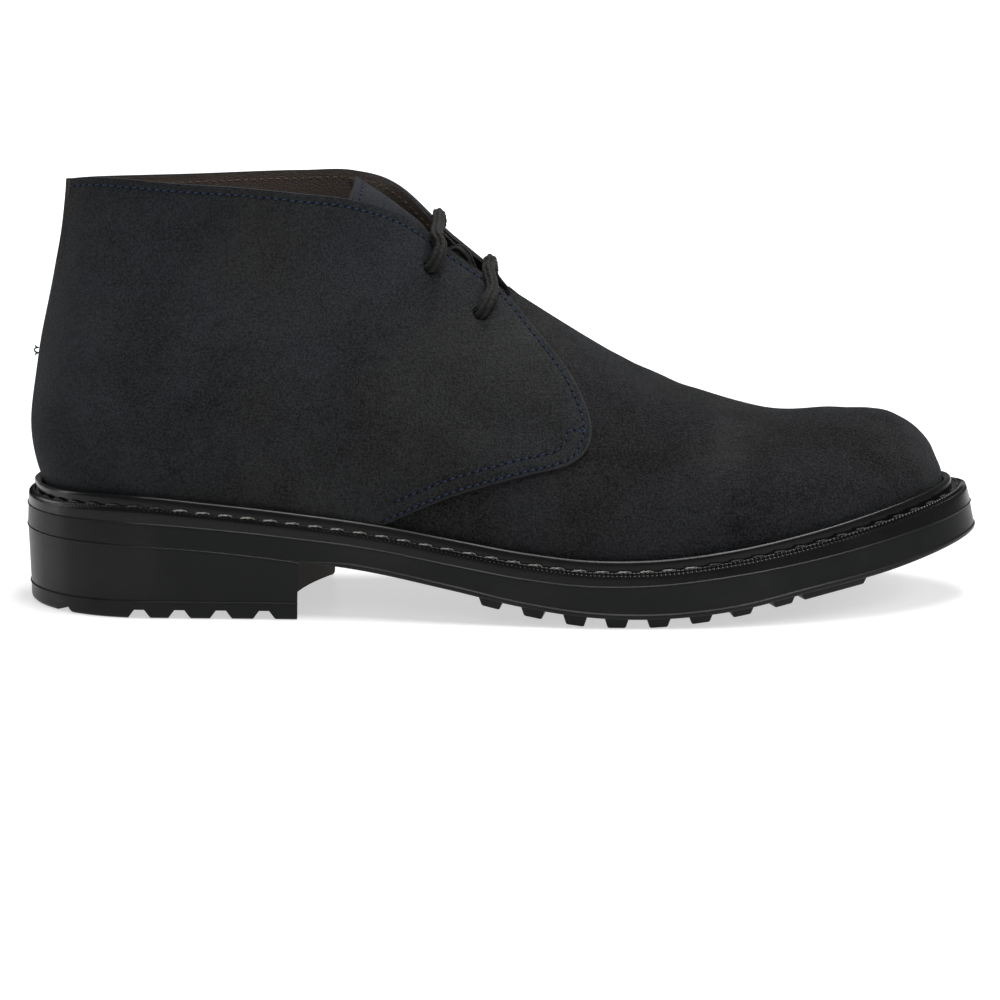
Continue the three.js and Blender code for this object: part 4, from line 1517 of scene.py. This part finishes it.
def lace():
    """One braided cord: the relief is its cords, and the fine picks across them."""

    def braid(angle, along):
        turned = 3 * angle + np.pi / 4 + 0.3 * np.sin(2 * np.pi * along / 3.4)
        cords = np.abs(np.sin(turned))
        picks = np.cos(2 * np.pi * along / 1.5 + np.pi * np.floor(turned / np.pi))
        return 0.76 + 0.26 * cords**0.6 + 0.035 * picks * cords

    line = through(lace_points())
    obj = tube("braided_lace", line, 1.14 * LACE_DIAMETER / 2, 56, 760, braid)
    return settle(obj, lace_braid, "braid", "lace")


# ------------------------------------------------------------------ Thread ends at the back seam
def thread_ends():
    """Two clipped ends and a small loop, where the back seam is locked off halfway up."""
    root = off_upper(np.array([1.0]), np.array([0.5]), 0.0)[0]
    routes = [  # as offsets from the seam
        [(0.6, 0.0, 1.0), (-0.5, -0.2, 0.8), (-0.9, 0.2, 0.1), (-0.5, 0.3, -0.5), (0.6, 0.1, -0.8)],
        [(0.6, 0.2, 0.8), (-0.4, 0.4, 1.2), (-0.5, 0.2, 1.7)],
        [(0.6, -0.2, -0.7), (-0.4, -0.4, -1.0), (-0.4, -0.3, -1.5)],
    ]
    made = [
        tube(f"end_{k}", through(root + np.array(route), 10), 0.24, 8, 40)
        for k, route in enumerate(routes)
    ]
    return settle(joined("thread_ends", made), seam_thread, "suede")


# ------------------------------------------------------------------ Floor, light and camera
def aimed(place, target):
    """The turn that points a lamp or a camera at a target."""
    return (Vector(target) - Vector(place)).to_track_quat("-Z", "Y").to_euler()


def studio():
    bpy.ops.object.select_all(action="DESELECT")
    bpy.ops.mesh.primitive_plane_add(size=16, location=(0, 0, -0.0001))
    floor = named(bpy.context.active_object, "floor")
    glowing_floor = bpy.data.materials.new("floor_painted_glow")
    glowing_floor.use_nodes = True
    surface = glowing_floor.node_tree.nodes["Principled BSDF"]
    surface.inputs["Base Color"].default_value = (0.5, 0.5, 0.5, 1)
    surface.inputs["Roughness"].default_value = 0.32
    surface.inputs["Specular IOR Level"].default_value = 0.35
    tree = Tree(glowing_floor.node_tree)
    # The floor glows though it is no lamp: painted light. The glow is dimmer near the middle, a
    # painted soft shadow round the boot.
    away = tree.node("ShaderNodeVectorMath", operation="LENGTH")
    tree.link(tree.node("ShaderNodeTexCoord").outputs["Object"], away.inputs[0])
    glow = tree.spread(away.outputs["Value"], 0.25, 1.3, 0.56, 1.0)
    tree.link(glow, surface.inputs["Emission Color"])
    surface.inputs["Emission Strength"].default_value = 1.0
    floor.data.materials.append(glowing_floor)

    world = bpy.data.worlds.new("studio")
    world.use_nodes = True
    world.node_tree.nodes["Background"].inputs["Color"].default_value = (1, 1, 1, 1)
    world.node_tree.nodes["Background"].inputs["Strength"].default_value = 0.22
    bpy.context.scene.world = world

    softboxes = [
        ("overhead", (0.2, 0.0, 1.5), (1.8, 0.5), 42),
        ("front", (-0.4, -2.0, 1.5), (1.6, 1.0), 10),
        ("toe_side", (1.5, -0.5, 1.1), (0.9, 0.9), 20),
        ("heel_side", (-1.7, 0.2, 0.6), (0.3, 1.0), 8),
    ]
    for name, place, size, power in softboxes:
        data = bpy.data.lights.new(name, "AREA")
        data.shape, data.size, data.size_y, data.energy = "RECTANGLE", *size, power
        lamp = bpy.data.objects.new(name, data)
        lamp.location = place
        lamp.rotation_euler = aimed(lamp.location, (0, 0, 0.06))
        lamp.visible_glossy = name not in ("front", "toe_side")  # they only lift the shadows
        bpy.context.scene.collection.objects.link(lamp)


def camera():
    turned, raised, distance = math.radians(0.5), math.radians(11), 3.5
    level = math.cos(raised)
    back = Vector((math.sin(turned) * level, -math.cos(turned) * level, math.sin(raised)))
    data = bpy.data.cameras.new("camera")
    data.lens, data.sensor_width = 394.8, 36
    data.clip_start, data.clip_end = 0.1, 60
    made = bpy.data.objects.new("camera", data)
    made.location = Vector((0, 0, 0.065)) + distance * back
    made.rotation_euler = aimed(made.location, (-0.00055, 0, 0.0308))
    bpy.context.scene.collection.objects.link(made)
    bpy.context.scene.camera = made


camera()
studio()
bpy.context.scene.view_settings.view_transform = "Standard"

vamp()
quarter("quarter_outer", 1)
quarter("quarter_inner", -1)
lining()
tongue()
seam_rows()
tongue_row()
insole()
welt()
welt_row()
outsole()
heel_block()
heel_lift()
lace()
thread_ends()
